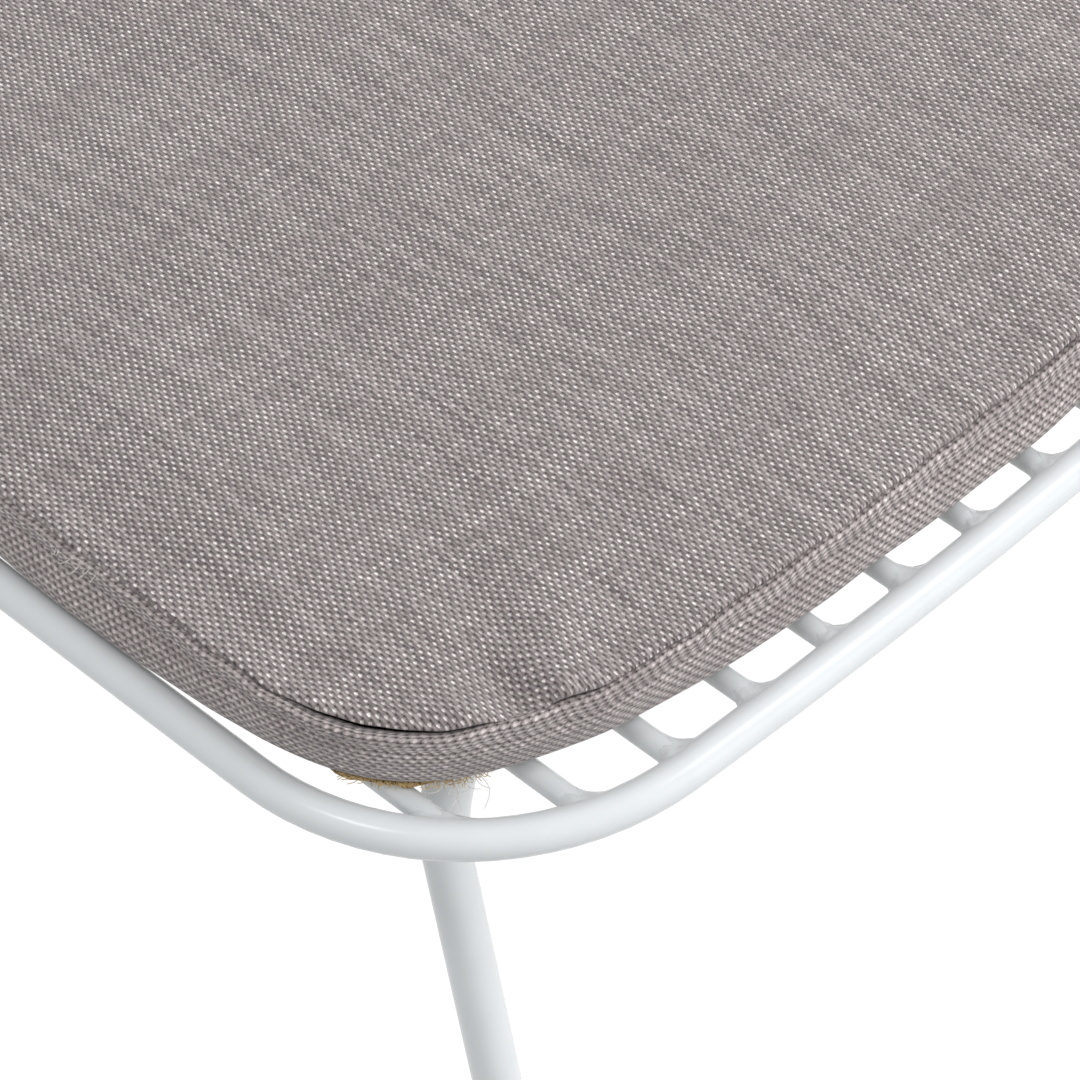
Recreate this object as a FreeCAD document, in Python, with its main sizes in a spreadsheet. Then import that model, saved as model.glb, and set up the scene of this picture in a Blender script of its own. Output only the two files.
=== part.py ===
import FreeCAD, Part
import math
import os
import Sketcher

# Wire chair with a loose seat pad. Millimetres, +Z up, the chair faces -Y.
# The origin is on the floor, under the middle of the overall width and depth.

V = FreeCAD.Vector
Rotation = FreeCAD.Rotation
Placement = FreeCAD.Placement

document = FreeCAD.newDocument("wire_chair")
sheet = document.addObject("Spreadsheet::Sheet", "Sizes")

# Driving dimensions: alias, value, what it measures
SIZES = [
    ("rim_dia", 8.0, "rod round the seat and the back"),
    ("wire_dia", 5.0, "long wires of the seat and back"),
    ("cross_dia", 5.0, "cross wires under the seat and behind the back"),
    ("leg_dia", 10.0, "rod of the two leg bows"),
    ("seat_width", 430.0, "between the axes of the side rods"),
    ("seat_rise", 446.0, "floor to the axis of the seat rod"),
    ("side_run", 380.0, "front of the seat rod's axis to the start of the rear bend"),
    ("corner_rad", 60.0, "front corners of the seat rod, at the axis"),
    ("front_bow_rad", 1600.0, "bowed front edge, at the axis"),
    ("rear_bend_rad", 60.0, "bend from the seat up into the back, at the axis"),
    ("back_tilt", 12.0, "lean of the back from upright, degrees"),
    ("back_rise", 370.0, "axis of the seat rod to the axis of the top rod"),
    ("top_corner_rad", 80.0, "top corners of the back, at the axis"),
    ("top_bow_rad", 1400.0, "bowed top edge of the back, at the axis"),
    ("wire_count", 21, "long wires, evenly spaced"),
    ("wire_margin", 15.0, "axis of the side rod to the first long wire"),
    ("seat_cross_count", 2, "cross wires between the leg bows, evenly spaced"),
    ("back_cross_count", 3, "cross wires behind the back"),
    ("back_cross_start", 70.0, "lean length from the rear bend to the first back cross wire"),
    ("back_cross_pitch", 70.0, "back cross wires, along the lean"),
    ("front_bow_set", 56.5, "front of the seat rod's axis to the front leg bow"),
    ("rear_bow_set", 340.0, "front of the seat rod's axis to the rear leg bow"),
    ("leg_inset", 30.5, "axis of a side rod to the outside of a leg bow's bend, at the axis"),
    ("bow_bend_rad", 35.0, "bends of the leg bows, at the axis"),
    ("leg_side_tilt", 2.6, "legs outward, in the plane of the bow, degrees"),
    ("front_leg_tilt", 10.3, "front bow forward from upright, degrees"),
    ("rear_leg_tilt", 15.0, "rear bow rearward from upright, degrees"),
    ("glide_dia", 18.0, "plastic foot glides"),
    ("glide_tall", 16.0, "height of a foot glide"),
    ("glide_edge", 1.5, "chamfer round a foot glide"),
    ("glide_floor", 6.0, "plastic under the end of the rod"),
    ("pad_front_gap", 9.8, "axis of the front rod to the pad"),
    ("pad_rear_reach", 3.8, "pad past the start of the rear bend"),
    ("pad_side_gap", 4.6, "axis of a side rod to the pad"),
    ("pad_corner_rad", 54.0, "corners of the pad"),
    ("pad_lift_gap", 0.3, "pad above the long wires"),
    ("pad_band", 17.0, "height of the pad's seam"),
    ("pad_thick", 23.0, "pad at the middle of its crown"),
    ("pad_crown_rad", 8000.0, "crown of the pad"),
    ("pad_top_round", 6.5, "rounded upper edge of the pad"),
    ("pad_foot_round", 4.0, "rounded lower edge of the pad"),
    ("cloth", 1.2, "thickness of the pad's cloth"),
]

for row, (alias, value, meaning) in enumerate(SIZES, start=1):
    sheet.set("A%d" % row, alias)
    sheet.set("B%d" % row, str(value))
    sheet.set("C%d" % row, meaning)
    sheet.setAlias("B%d" % row, alias)
document.recompute()


def size(alias):
    """The value of one driving dimension."""
    return float(sheet.get(alias))


def bind(thing, prop, formula):
    """Ties a property to the sheet; aliases in the formula stand in square brackets."""
    thing.setExpression(prop, formula.replace("[", "Sizes.").replace("]", ""))


# Derived places, worked out from the driving dimensions
rim_r = size("rim_dia") / 2
wire_r = size("wire_dia") / 2
cross_r = size("cross_dia") / 2
leg_r = size("leg_dia") / 2
half_width = size("seat_width") / 2
seat_z = size("seat_rise")
lean = math.radians(size("back_tilt"))
bend_rad = size("rear_bend_rad")
bend_turn = math.pi / 2 - lean
bend_back = bend_rad * math.sin(bend_turn)
bend_up = bend_rad * (1 - math.cos(bend_turn))
lean_length = (size("back_rise") - bend_up) / math.cos(lean)

bow_z = seat_z - wire_r - leg_r
bow_half_run = half_width - size("leg_inset") - size("bow_bend_rad")
glide_r = size("glide_dia") / 2
pad_depth = size("side_run") + size("pad_rear_reach") - size("pad_front_gap")


def bow_leg(tilt_alias):
    """Length of a leg's straight run, and how far its foot stands from the bow."""
    tilt = math.radians(size(tilt_alias))
    splay = math.radians(size("leg_side_tilt"))
    bend = size("bow_bend_rad")
    end_z = size("glide_floor") + leg_r * math.sin(tilt)
    plane_drop = (bow_z - end_z) / math.cos(tilt)
    bend_drop = bend * (1 - math.sin(splay))
    straight = (plane_drop - bend_drop) / math.cos(splay)
    foot_y = plane_drop * math.sin(tilt)
    foot_x = bow_half_run + bend * math.cos(splay) + straight * math.sin(splay)
    return straight, foot_x, foot_y


front_straight, front_foot_x, front_foot_reach = bow_leg("front_leg_tilt")
rear_straight, rear_foot_x, rear_foot_reach = bow_leg("rear_leg_tilt")

# Depths are first measured from the axis of the front rod, then centred
front_extent = min(-rim_r, size("front_bow_set") - front_foot_reach - glide_r)
back_top_reach = size("side_run") + bend_back + lean_length * math.sin(lean)
rear_extent = max(back_top_reach + rim_r, size("rear_bow_set") + rear_foot_reach + glide_r)
seat_front = -(front_extent + rear_extent) / 2
bend_y = seat_front + size("side_run")


def front_axis_y(x):
    """Y of the seat rod's axis along the front edge and its corners."""
    bow = size("front_bow_rad")
    corner = size("corner_rad")
    centre_x = half_width - corner
    centre_y = seat_front + bow - math.sqrt((bow - corner) ** 2 - centre_x ** 2)
    touch_x = centre_x * bow / (bow - corner)
    if abs(x) <= touch_x:
        return seat_front + bow - math.sqrt(bow ** 2 - x ** 2)
    return centre_y - math.sqrt(max(corner ** 2 - (abs(x) - centre_x) ** 2, 0.0))


def top_axis_s(x):
    """Lean length from the rear bend to the top rod's axis, at x."""
    bow = size("top_bow_rad")
    corner = size("top_corner_rad")
    centre_x = half_width - corner
    centre_s = lean_length - bow + math.sqrt((bow - corner) ** 2 - centre_x ** 2)
    touch_x = centre_x * bow / (bow - corner)
    if abs(x) <= touch_x:
        return lean_length - bow + math.sqrt(bow ** 2 - x ** 2)
    return centre_s + math.sqrt(max(corner ** 2 - (abs(x) - centre_x) ** 2, 0.0))


def back_point(x, s):
    """Point of the leaning back, s along the lean from the rear bend."""
    return V(x, bend_y + bend_back + s * math.sin(lean), seat_z + bend_up + s * math.cos(lean))


# A half turn of a rod's section sets its seam line on the outer side
OUTWARD = Rotation(V(0, 0, 1), 180)


# Sketch helpers
def origin_plane(body, role):
    """One of a body's own origin planes."""
    for feature in body.Origin.OriginFeatures:
        if feature.Role == role:
            return feature
    raise ValueError(role)


def attached_sketch(body, name, role, offset=None):
    """A sketch on one of the body's origin planes."""
    sketch = body.newObject("Sketcher::SketchObject", name)
    sketch.AttachmentSupport = [(origin_plane(body, role), "")]
    sketch.MapMode = "FlatFace"
    if offset is not None:
        sketch.AttachmentOffset = offset
    return sketch


def arc(centre, radius, start, end):
    """An arc in sketch coordinates, from one angle to the other, anticlockwise."""
    circle = Part.Circle(V(centre[0], centre[1], 0), V(0, 0, 1), radius)
    return Part.ArcOfCircle(circle, start, end)


def line(start, end):
    """A line in sketch coordinates."""
    return Part.LineSegment(V(start[0], start[1], 0), V(end[0], end[1], 0))


def circle_sketch(body, name, role, centre, turn, formula):
    """A round section whose diameter follows the sheet, centred on its own origin."""
    sketch = attached_sketch(body, name, role, Placement(centre, turn))
    sketch.addGeometry(Part.Circle(V(0, 0, 0), V(0, 0, 1), size(formula) / 2))
    sketch.addConstraint(Sketcher.Constraint("Diameter", 0, size(formula)))
    bind(sketch, "Constraints[0]", "[%s]" % formula)
    sketch.addConstraint(Sketcher.Constraint("Coincident", 0, 3, -1, 1))
    return sketch


def pipe(body, name, section, path):
    """A rod that follows a path."""
    feature = body.newObject("PartDesign::AdditivePipe", name)
    feature.Profile = section
    feature.Spine = path
    body.Tip = feature
    return feature


def new_body(label):
    """An empty body with the node's label."""
    body = document.addObject("PartDesign::Body", label)
    body.Label = label
    return body


# Seat rod: two straight sides, two front corners and the bowed front edge
def make_seat_rim():
    body = new_body("seat_rim")
    bow = size("front_bow_rad")
    corner = size("corner_rad")
    centre_x = half_width - corner
    centre_y = seat_front + bow - math.sqrt((bow - corner) ** 2 - centre_x ** 2)
    bow_y = seat_front + bow
    touch = math.atan2(bow_y - centre_y, centre_x)
    path = attached_sketch(body, "SeatRimPath", "XY_Plane")
    bind(path, "AttachmentOffset.Base.z", "[seat_rise]")
    left, left_corner, front, right_corner, right = range(5)
    path.addGeometry(line((-half_width, bend_y), (-half_width, centre_y)))
    path.addGeometry(arc((-centre_x, centre_y), corner, math.pi, math.pi + touch))
    path.addGeometry(arc((0, bow_y), bow, math.pi + touch, 2 * math.pi - touch))
    path.addGeometry(arc((centre_x, centre_y), corner, 2 * math.pi - touch, 2 * math.pi))
    path.addGeometry(line((half_width, centre_y), (half_width, bend_y)))
    rules = [
        ("Tangent", left, 2, left_corner, 1),
        ("Tangent", left_corner, 2, front, 1),
        ("Tangent", front, 2, right_corner, 1),
        ("Tangent", right_corner, 2, right, 1),
        ("Vertical", left),
        ("Vertical", right),
        ("Equal", left_corner, right_corner),
        ("PointOnObject", front, 3, -2),
    ]
    for rule in rules:
        path.addConstraint(Sketcher.Constraint(*rule))
    driven = [
        (("Radius", left_corner, corner), "[corner_rad]"),
        (("Radius", front, bow), "[front_bow_rad]"),
        (("DistanceX", left, 1, -1, 1, half_width), "[seat_width] / 2"),
        (("DistanceX", -1, 1, right, 2, half_width), "[seat_width] / 2"),
        (("DistanceY", front, 3, bow_y), None),
        (("DistanceY", left, 1, bend_y), None),
        (("DistanceY", right, 2, bend_y), None),
    ]
    add_driven(path, driven)
    section = circle_sketch(
        body, "SeatRimSection", "XZ_Plane", V(-half_width, seat_z, -bend_y), OUTWARD, "rim_dia")
    pipe(body, "SeatRimRod", section, path)
    return body


def add_driven(sketch, driven):
    """Adds dimensions to a sketch and ties those that have a formula to the sheet."""
    for rule, formula in driven:
        index = sketch.addConstraint(Sketcher.Constraint(*rule))
        if formula is not None:
            bind(sketch, "Constraints[%d]" % index, formula)


# Back rod: a bend at each side, two uprights and the rounded top
def make_back_hoop():
    body = new_body("back_hoop")
    bow = size("top_bow_rad")
    corner = size("top_corner_rad")
    centre_x = half_width - corner
    bow_s = lean_length - bow
    centre_s = bow_s + math.sqrt((bow - corner) ** 2 - centre_x ** 2)
    touch = math.atan2(centre_s - bow_s, centre_x)
    for side, x, turn in (("Left", -half_width, OUTWARD), ("Right", half_width, Rotation())):
        across = Placement(V(0, 0, x), Rotation())
        path = attached_sketch(body, side + "BendPath", "YZ_Plane", across)
        path.addGeometry(arc(
            (bend_y, seat_z + bend_rad), bend_rad, 1.5 * math.pi, 1.5 * math.pi + bend_turn))
        add_driven(path, [
            (("Radius", 0, bend_rad), "[rear_bend_rad]"),
            (("DistanceX", -1, 1, 0, 3, bend_y), None),
            (("DistanceY", -1, 1, 0, 3, seat_z + bend_rad), "[seat_rise] + [rear_bend_rad]"),
        ])
        section = circle_sketch(
            body, side + "BendSection", "XZ_Plane", V(x, seat_z, -bend_y), turn, "rim_dia")
        pipe(body, side + "Bend", section, path)
    foot = back_point(0, 0)
    tilt = Rotation(V(1, 0, 0), -size("back_tilt"))
    path = attached_sketch(
        body, "HoopPath", "XZ_Plane", Placement(V(0, foot.z, -foot.y), tilt))
    left, left_corner, top, right_corner, right = range(5)
    path.addGeometry(line((-half_width, 0), (-half_width, centre_s)))
    path.addGeometry(arc((-centre_x, centre_s), corner, math.pi - touch, math.pi))
    path.addGeometry(arc((0, bow_s), bow, touch, math.pi - touch))
    path.addGeometry(arc((centre_x, centre_s), corner, 0, touch))
    path.addGeometry(line((half_width, centre_s), (half_width, 0)))
    rules = [
        ("Tangent", left, 2, left_corner, 2),
        ("Tangent", left_corner, 1, top, 2),
        ("Tangent", top, 1, right_corner, 2),
        ("Tangent", right_corner, 1, right, 1),
        ("Vertical", left),
        ("Vertical", right),
        ("Equal", left_corner, right_corner),
        ("PointOnObject", top, 3, -2),
        ("PointOnObject", left, 1, -1),
        ("PointOnObject", right, 2, -1),
    ]
    for rule in rules:
        path.addConstraint(Sketcher.Constraint(*rule))
    add_driven(path, [
        (("Radius", left_corner, corner), "[top_corner_rad]"),
        (("Radius", top, bow), "[top_bow_rad]"),
        (("DistanceX", left, 1, -1, 1, half_width), "[seat_width] / 2"),
        (("DistanceX", -1, 1, right, 2, half_width), "[seat_width] / 2"),
        (("DistanceY", top, 3, bow_s), None),
    ])
    section = circle_sketch(
        body, "HoopSection", "XY_Plane", V(-half_width, foot.y, foot.z),
        tilt.multiply(OUTWARD), "rim_dia")
    pipe(body, "Hoop", section, path)
    return body


# Leg bow: a run under the wires, a bend at each end and two splayed legs
def make_leg_bow(label, setback, tilt, straight):
    body = new_body(label)
    bend = size("bow_bend_rad")
    half_run = bow_half_run
    splay = math.radians(size("leg_side_tilt"))
    knee_x = half_run + bend * math.cos(splay)
    knee_z = -bend + bend * math.sin(splay)
    foot_x = knee_x + straight * math.sin(splay)
    foot_z = knee_z - straight * math.cos(splay)
    path = attached_sketch(body, label + "_path", "XZ_Plane")
    left, left_bend, run, right_bend, right = range(5)
    path.addGeometry(line((-foot_x, foot_z), (-knee_x, knee_z)))
    path.addGeometry(arc((-half_run, -bend), bend, math.pi / 2, math.pi - splay))
    path.addGeometry(line((-half_run, 0), (half_run, 0)))
    path.addGeometry(arc((half_run, -bend), bend, splay, math.pi / 2))
    path.addGeometry(line((knee_x, knee_z), (foot_x, foot_z)))
    rules = [
        ("Tangent", left, 2, left_bend, 2),
        ("Tangent", left_bend, 1, run, 1),
        ("Tangent", run, 2, right_bend, 2),
        ("Tangent", right_bend, 1, right, 1),
        ("Equal", left_bend, right_bend),
        ("Equal", left, right),
        ("PointOnObject", run, 1, -1),
        ("PointOnObject", run, 2, -1),
    ]
    for rule in rules:
        path.addConstraint(Sketcher.Constraint(*rule))
    add_driven(path, [
        (("Radius", left_bend, bend), "[bow_bend_rad]"),
        (("DistanceX", run, 1, -1, 1, half_run), "[seat_width] / 2 - [leg_inset] - [bow_bend_rad]"),
        (("DistanceX", -1, 1, run, 2, half_run), "[seat_width] / 2 - [leg_inset] - [bow_bend_rad]"),
        (("DistanceY", left, 1, foot_z), None),
        (("DistanceX", left, 1, -foot_x), None),
        (("DistanceX", right, 2, foot_x), None),
    ])
    section = circle_sketch(
        body, label + "_section", "XY_Plane", V(-foot_x, 0, foot_z),
        Rotation(V(0, 1, 0), size("leg_side_tilt")), "leg_dia")
    pipe(body, label + "_rod", section, path)
    body.Placement = Placement(V(0, seat_front + setback, bow_z), Rotation(V(1, 0, 0), tilt))
    return body


# Long wire: along the seat, round the rear bend and up the back, in one piece
def make_long_wire(label, x, rods):
    start_y = front_axis_y(x)
    end = back_point(x, top_axis_s(x))
    knee = back_point(x, 0)
    path = document.addObject("Sketcher::SketchObject", label + "_path")
    upright = Rotation(V(0, 1, 0), V(0, 0, 1), V(1, 0, 0), "XYZ")
    path.Placement = Placement(V(x, 0, 0), upright)
    path.addGeometry(line((start_y, seat_z), (bend_y, seat_z)))
    path.addGeometry(arc(
        (bend_y, seat_z + bend_rad), bend_rad, 1.5 * math.pi, 1.5 * math.pi + bend_turn))
    path.addGeometry(line((knee.y, knee.z), (end.y, end.z)))
    seat_run, bend, back_run = range(3)
    for rule in (
            ("Tangent", seat_run, 2, bend, 1), ("Tangent", bend, 2, back_run, 1),
            ("Horizontal", seat_run)):
        path.addConstraint(Sketcher.Constraint(*rule))
    add_driven(path, [
        (("Radius", bend, bend_rad), "[rear_bend_rad]"),
        (("DistanceY", -1, 1, seat_run, 1, seat_z), "[seat_rise]"),
        (("DistanceX", seat_run, 1, start_y), None),
        (("DistanceX", seat_run, 2, bend_y), None),
        (("DistanceX", back_run, 2, end.y), None),
        (("DistanceY", back_run, 2, end.z), None),
    ])
    section = document.addObject("Part::Circle", label + "_section")
    bind(section, "Radius", "[wire_dia] / 2")
    section.Placement = Placement(V(x, start_y, seat_z), Rotation(V(1, 0, 0), -90))
    rod = document.addObject("Part::Sweep", label + "_rod")
    rod.Sections = [section]
    rod.Spine = (path, ["Edge1", "Edge2", "Edge3"])
    rod.Solid = True
    rod.Frenet = False
    return coped(label, rod, rods)


def coped(label, blank, tool):
    """The blank with its ends cut to the faces of the rods that it meets."""
    cut = document.addObject("Part::Cut", label)
    cut.Label = label
    cut.Base = blank
    cut.Tool = tool
    return cut


def make_cross_wire(label, centre, rods):
    """A straight wire from one side rod to the other, coped to both."""
    rod = document.addObject("Part::Cylinder", label + "_rod")
    bind(rod, "Radius", "[cross_dia] / 2")
    bind(rod, "Height", "[seat_width]")
    rod.Placement = Placement(centre - V(half_width, 0, 0), Rotation(V(0, 1, 0), 90))
    return coped(label, rod, rods)


def wire_places():
    """X of each long wire, evenly about the middle."""
    outer = half_width - size("wire_margin")
    count = int(size("wire_count"))
    return [outer * (2 * index / (count - 1) - 1) for index in range(count)]


# Foot glide: a round plastic foot, with a socket that holds the end of the leg
def make_glide(label, x, y, bow):
    body = new_body(label + "_foot")
    tall = size("glide_tall")
    edge = size("glide_edge")
    profile = attached_sketch(body, label + "_profile", "XZ_Plane")
    corners = [
        (0, 0), (glide_r - edge, 0), (glide_r, edge), (glide_r, tall - edge),
        (glide_r - edge, tall), (0, tall)]
    for index, corner in enumerate(corners):
        profile.addGeometry(line(corner, corners[(index + 1) % len(corners)]))
    count = len(corners)
    for index in range(count):
        profile.addConstraint(Sketcher.Constraint("Coincident", index, 2, (index + 1) % count, 1))
    profile.addConstraint(Sketcher.Constraint("Coincident", 0, 1, -1, 1))
    profile.addConstraint(Sketcher.Constraint("Vertical", 5))
    profile.addConstraint(Sketcher.Constraint("Horizontal", 0))
    profile.addConstraint(Sketcher.Constraint("Horizontal", 4))
    profile.addConstraint(Sketcher.Constraint("Vertical", 2))
    add_driven(profile, [
        (("DistanceX", -1, 1, 2, 1, glide_r), "[glide_dia] / 2"),
        (("DistanceY", -1, 1, 4, 2, tall), "[glide_tall]"),
        (("DistanceX", 1, 1, 1, 2, edge), "[glide_edge]"),
        (("DistanceY", 1, 1, 1, 2, edge), "[glide_edge]"),
        (("DistanceX", 3, 2, 3, 1, edge), "[glide_edge]"),
        (("DistanceY", 3, 1, 3, 2, edge), "[glide_edge]"),
    ])
    turn = body.newObject("PartDesign::Revolution", label + "_turned")
    turn.Profile = profile
    turn.ReferenceAxis = (profile, ["V_Axis"])
    turn.Angle = 360
    body.Tip = turn
    body.Placement = Placement(V(x, y, 0), Rotation())
    return coped(label, body, bow)


# Pad: one crowned block, with its cloth taken from the same outline
def make_pad_block(name, inset_alias):
    inset = size(inset_alias) if inset_alias else 0.0
    shrink = " - [%s]" % inset_alias if inset_alias else ""
    body = new_body(name)
    bow = size("front_bow_rad") - size("pad_front_gap") - inset
    corner = size("pad_corner_rad") - inset
    half = half_width - size("pad_side_gap") - inset
    depth = pad_depth
    front = -depth / 2 + inset
    rear = depth / 2 - inset
    centre_x = half - corner
    bow_y = front + bow
    centre_y = bow_y - math.sqrt((bow - corner) ** 2 - centre_x ** 2)
    touch = math.atan2(bow_y - centre_y, centre_x)
    rear_y = rear - corner
    outline = attached_sketch(body, name + "_outline", "XY_Plane")
    left, front_left, nose, front_right, right, rear_right, tail, rear_left = range(8)
    outline.addGeometry(line((-half, rear_y), (-half, centre_y)))
    outline.addGeometry(arc((-centre_x, centre_y), corner, math.pi, math.pi + touch))
    outline.addGeometry(arc((0, bow_y), bow, math.pi + touch, 2 * math.pi - touch))
    outline.addGeometry(arc((centre_x, centre_y), corner, 2 * math.pi - touch, 2 * math.pi))
    outline.addGeometry(line((half, centre_y), (half, rear_y)))
    outline.addGeometry(arc((centre_x, rear_y), corner, 0, math.pi / 2))
    outline.addGeometry(line((centre_x, rear), (-centre_x, rear)))
    outline.addGeometry(arc((-centre_x, rear_y), corner, math.pi / 2, math.pi))
    ends = [
        (left, 2, front_left, 1), (front_left, 2, nose, 1), (nose, 2, front_right, 1),
        (front_right, 2, right, 1), (right, 2, rear_right, 1), (rear_right, 2, tail, 1),
        (tail, 2, rear_left, 1), (rear_left, 2, left, 1)]
    for first, first_end, second, second_end in ends:
        outline.addConstraint(
            Sketcher.Constraint("Tangent", first, first_end, second, second_end))
    for other in (front_right, rear_right, rear_left):
        outline.addConstraint(Sketcher.Constraint("Equal", front_left, other))
    outline.addConstraint(Sketcher.Constraint("PointOnObject", nose, 3, -2))
    add_driven(outline, [
        (("Radius", front_left, corner), "[pad_corner_rad]" + shrink),
        (("Radius", nose, bow), "[front_bow_rad] - [pad_front_gap]" + shrink),
        (("DistanceX", left, 1, -1, 1, half), "[seat_width] / 2 - [pad_side_gap]" + shrink),
        (("DistanceX", -1, 1, right, 1, half), "[seat_width] / 2 - [pad_side_gap]" + shrink),
        (("DistanceY", -1, 1, tail, 1, rear),
         "([side_run] + [pad_rear_reach] - [pad_front_gap]) / 2" + shrink),
        (("DistanceY", nose, 3, bow_y), None),
    ])
    block = body.newObject("PartDesign::Pad", name + "_block")
    block.Profile = outline
    bind(block, "Length", "[pad_thick]" + shrink + shrink)
    body.Tip = block
    document.recompute()
    crown_rad = size("pad_crown_rad")
    top = size("pad_thick") - 2 * inset
    reach = math.hypot(half, depth / 2)
    drop = crown_rad - math.sqrt(crown_rad ** 2 - reach ** 2)
    rise = 20.0
    level_within = 0.01
    dome = attached_sketch(body, name + "_dome", "XZ_Plane")
    angle = math.asin(reach / crown_rad)
    dome.addGeometry(arc(
        (0, top - crown_rad), crown_rad, math.pi / 2 - angle, math.pi / 2))
    dome.addGeometry(line((0, top), (0, top + rise)))
    dome.addGeometry(line((0, top + rise), (reach, top + rise)))
    dome.addGeometry(line((reach, top + rise), (reach, top - drop)))
    for rule in (
            ("Coincident", 0, 2, 1, 1), ("Coincident", 1, 2, 2, 1),
            ("Coincident", 2, 2, 3, 1), ("Coincident", 3, 2, 0, 1),
            ("Vertical", 1), ("Horizontal", 2), ("Vertical", 3),
            ("PointOnObject", 0, 3, -2), ("PointOnObject", 1, 1, -2)):
        dome.addConstraint(Sketcher.Constraint(*rule))
    add_driven(dome, [
        (("Radius", 0, crown_rad), "[pad_crown_rad]"),
        (("DistanceY", -1, 1, 1, 1, top), "[pad_thick]" + shrink + shrink),
        (("DistanceX", 2, 1, 2, 2, reach), None),
        (("DistanceY", 1, 1, 1, 2, rise), None),
    ])
    before = block.Shape.Volume
    crown = body.newObject("PartDesign::Groove", name + "_crown")
    crown.Profile = dome
    crown.ReferenceAxis = (dome, ["V_Axis"])
    crown.Angle = 360
    body.Tip = crown
    document.recompute()
    if crown.Shape.Volume >= before:
        raise RuntimeError(name + " has no crown")
    upper = [
        "Edge%d" % index for index, edge in enumerate(crown.Shape.Edges, start=1)
        if edge.BoundBox.ZMin > size("pad_band") / 2]
    top_round = body.newObject("PartDesign::Fillet", name + "_top_round")
    top_round.Base = (crown, upper)
    bind(top_round, "Radius", "[pad_top_round]" + shrink)
    body.Tip = top_round
    document.recompute()
    lower = [
        "Edge%d" % index for index, edge in enumerate(top_round.Shape.Edges, start=1)
        if edge.BoundBox.ZMax < level_within]
    foot_round = body.newObject("PartDesign::Fillet", name + "_foot_round")
    foot_round.Base = (top_round, lower)
    bind(foot_round, "Radius", "[pad_foot_round]" + shrink)
    body.Tip = foot_round
    lift = seat_z + wire_r + size("pad_lift_gap") + inset
    middle_y = seat_front + size("pad_front_gap") + depth / 2
    body.Placement = Placement(V(0, middle_y, lift), Rotation())
    return body


def slab(name, low, high):
    """A level slice wider than the pad, between two heights above its foot."""
    margin = size("cloth")
    box = document.addObject("Part::Box", name)
    box.Length = size("seat_width") + 2 * margin
    box.Width = pad_depth + 2 * margin
    box.Height = high - low
    base_z = seat_z + wire_r + size("pad_lift_gap")
    base_y = seat_front + size("pad_front_gap")
    box.Placement = Placement(
        V(-half_width - margin, base_y - margin, base_z + low), Rotation())
    return box


def cover_slice(label, block, foam, low, high):
    """The cover's cloth between two heights above the pad's foot."""
    slice_block = document.addObject("Part::Common", label + "_slice")
    slice_block.Base = block
    slice_block.Tool = slab(label + "_slab", low, high)
    return coped(label, slice_block, foam)


nodes = []
seat_rim = make_seat_rim()
back_hoop = make_back_hoop()
nodes += [seat_rim, back_hoop]
rods = document.addObject("Part::Compound", "rods")
rods.Links = [seat_rim, back_hoop]

long_wires = []
for number, place in enumerate(wire_places(), start=1):
    long_wires.append(make_long_wire("long_wire_%02d" % number, place, rods))
nodes += long_wires

under = seat_z - wire_r - cross_r
seat_cross_count = int(size("seat_cross_count"))
seat_cross_pitch = (size("rear_bow_set") - size("front_bow_set")) / (seat_cross_count + 1)
for number in range(1, seat_cross_count + 1):
    y = seat_front + size("front_bow_set") + number * seat_cross_pitch
    nodes.append(make_cross_wire("seat_cross_wire_%d" % number, V(0, y, under), rods))

behind = V(0, math.cos(lean), -math.sin(lean)) * (wire_r + cross_r)
for number in range(int(size("back_cross_count"))):
    s = size("back_cross_start") + number * size("back_cross_pitch")
    nodes.append(make_cross_wire(
        "back_cross_wire_%d" % (number + 1), back_point(0, s) + behind, rods))

front_bow = make_leg_bow(
    "front_leg_bow", size("front_bow_set"), -size("front_leg_tilt"), front_straight)
rear_bow = make_leg_bow(
    "rear_leg_bow", size("rear_bow_set"), size("rear_leg_tilt"), rear_straight)
nodes += [front_bow, rear_bow]

front_foot_y = seat_front + size("front_bow_set") - front_foot_reach
rear_foot_y = seat_front + size("rear_bow_set") + rear_foot_reach
nodes.append(make_glide("front_left_glide", -front_foot_x, front_foot_y, front_bow))
nodes.append(make_glide("front_right_glide", front_foot_x, front_foot_y, front_bow))
nodes.append(make_glide("rear_left_glide", -rear_foot_x, rear_foot_y, rear_bow))
nodes.append(make_glide("rear_right_glide", rear_foot_x, rear_foot_y, rear_bow))

cover_block = make_pad_block("pad_cover_block", None)
pad_foam = make_pad_block("pad_foam", "cloth")
band_low = size("pad_foot_round")
band_high = size("pad_band")
above = size("pad_thick") + size("cloth")
nodes.append(pad_foam)
nodes.append(cover_slice("pad_top_panel", cover_block, pad_foam, band_high, above))
nodes.append(cover_slice("pad_side_band", cover_block, pad_foam, band_low, band_high))
nodes.append(cover_slice("pad_underside", cover_block, pad_foam, -size("cloth"), band_low))

document.recompute()

# Nothing is written unless every object is sound
for thing in document.Objects:
    for trouble in ("Invalid", "Error"):
        if trouble in thing.State:
            raise RuntimeError("%s: %s" % (thing.Name, thing.State))
for node in nodes:
    if node.Shape.isNull() or not node.Shape.isValid():
        raise RuntimeError(node.Label + " has no valid shape")
    if not node.Shape.Solids:
        raise RuntimeError(node.Label + " has no solid")

os.makedirs("parts", exist_ok=True)
for node in nodes:
    node.Shape.exportStep("parts/%s.step" % node.Label)
    print("%-22s solids %2d volume %10.1f" % (
        node.Label, len(node.Shape.Solids), node.Shape.Volume))
print("nodes", len(nodes))
print("overall depth", round(rear_extent - front_extent, 2), "seat front", round(seat_front, 2))
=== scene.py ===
"""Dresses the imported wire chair: coated steel, weld beads and the woven seat pad."""
import logging
import math
import random
from dataclasses import dataclass, field
from enum import Enum
from typing import Callable, Sequence

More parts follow.
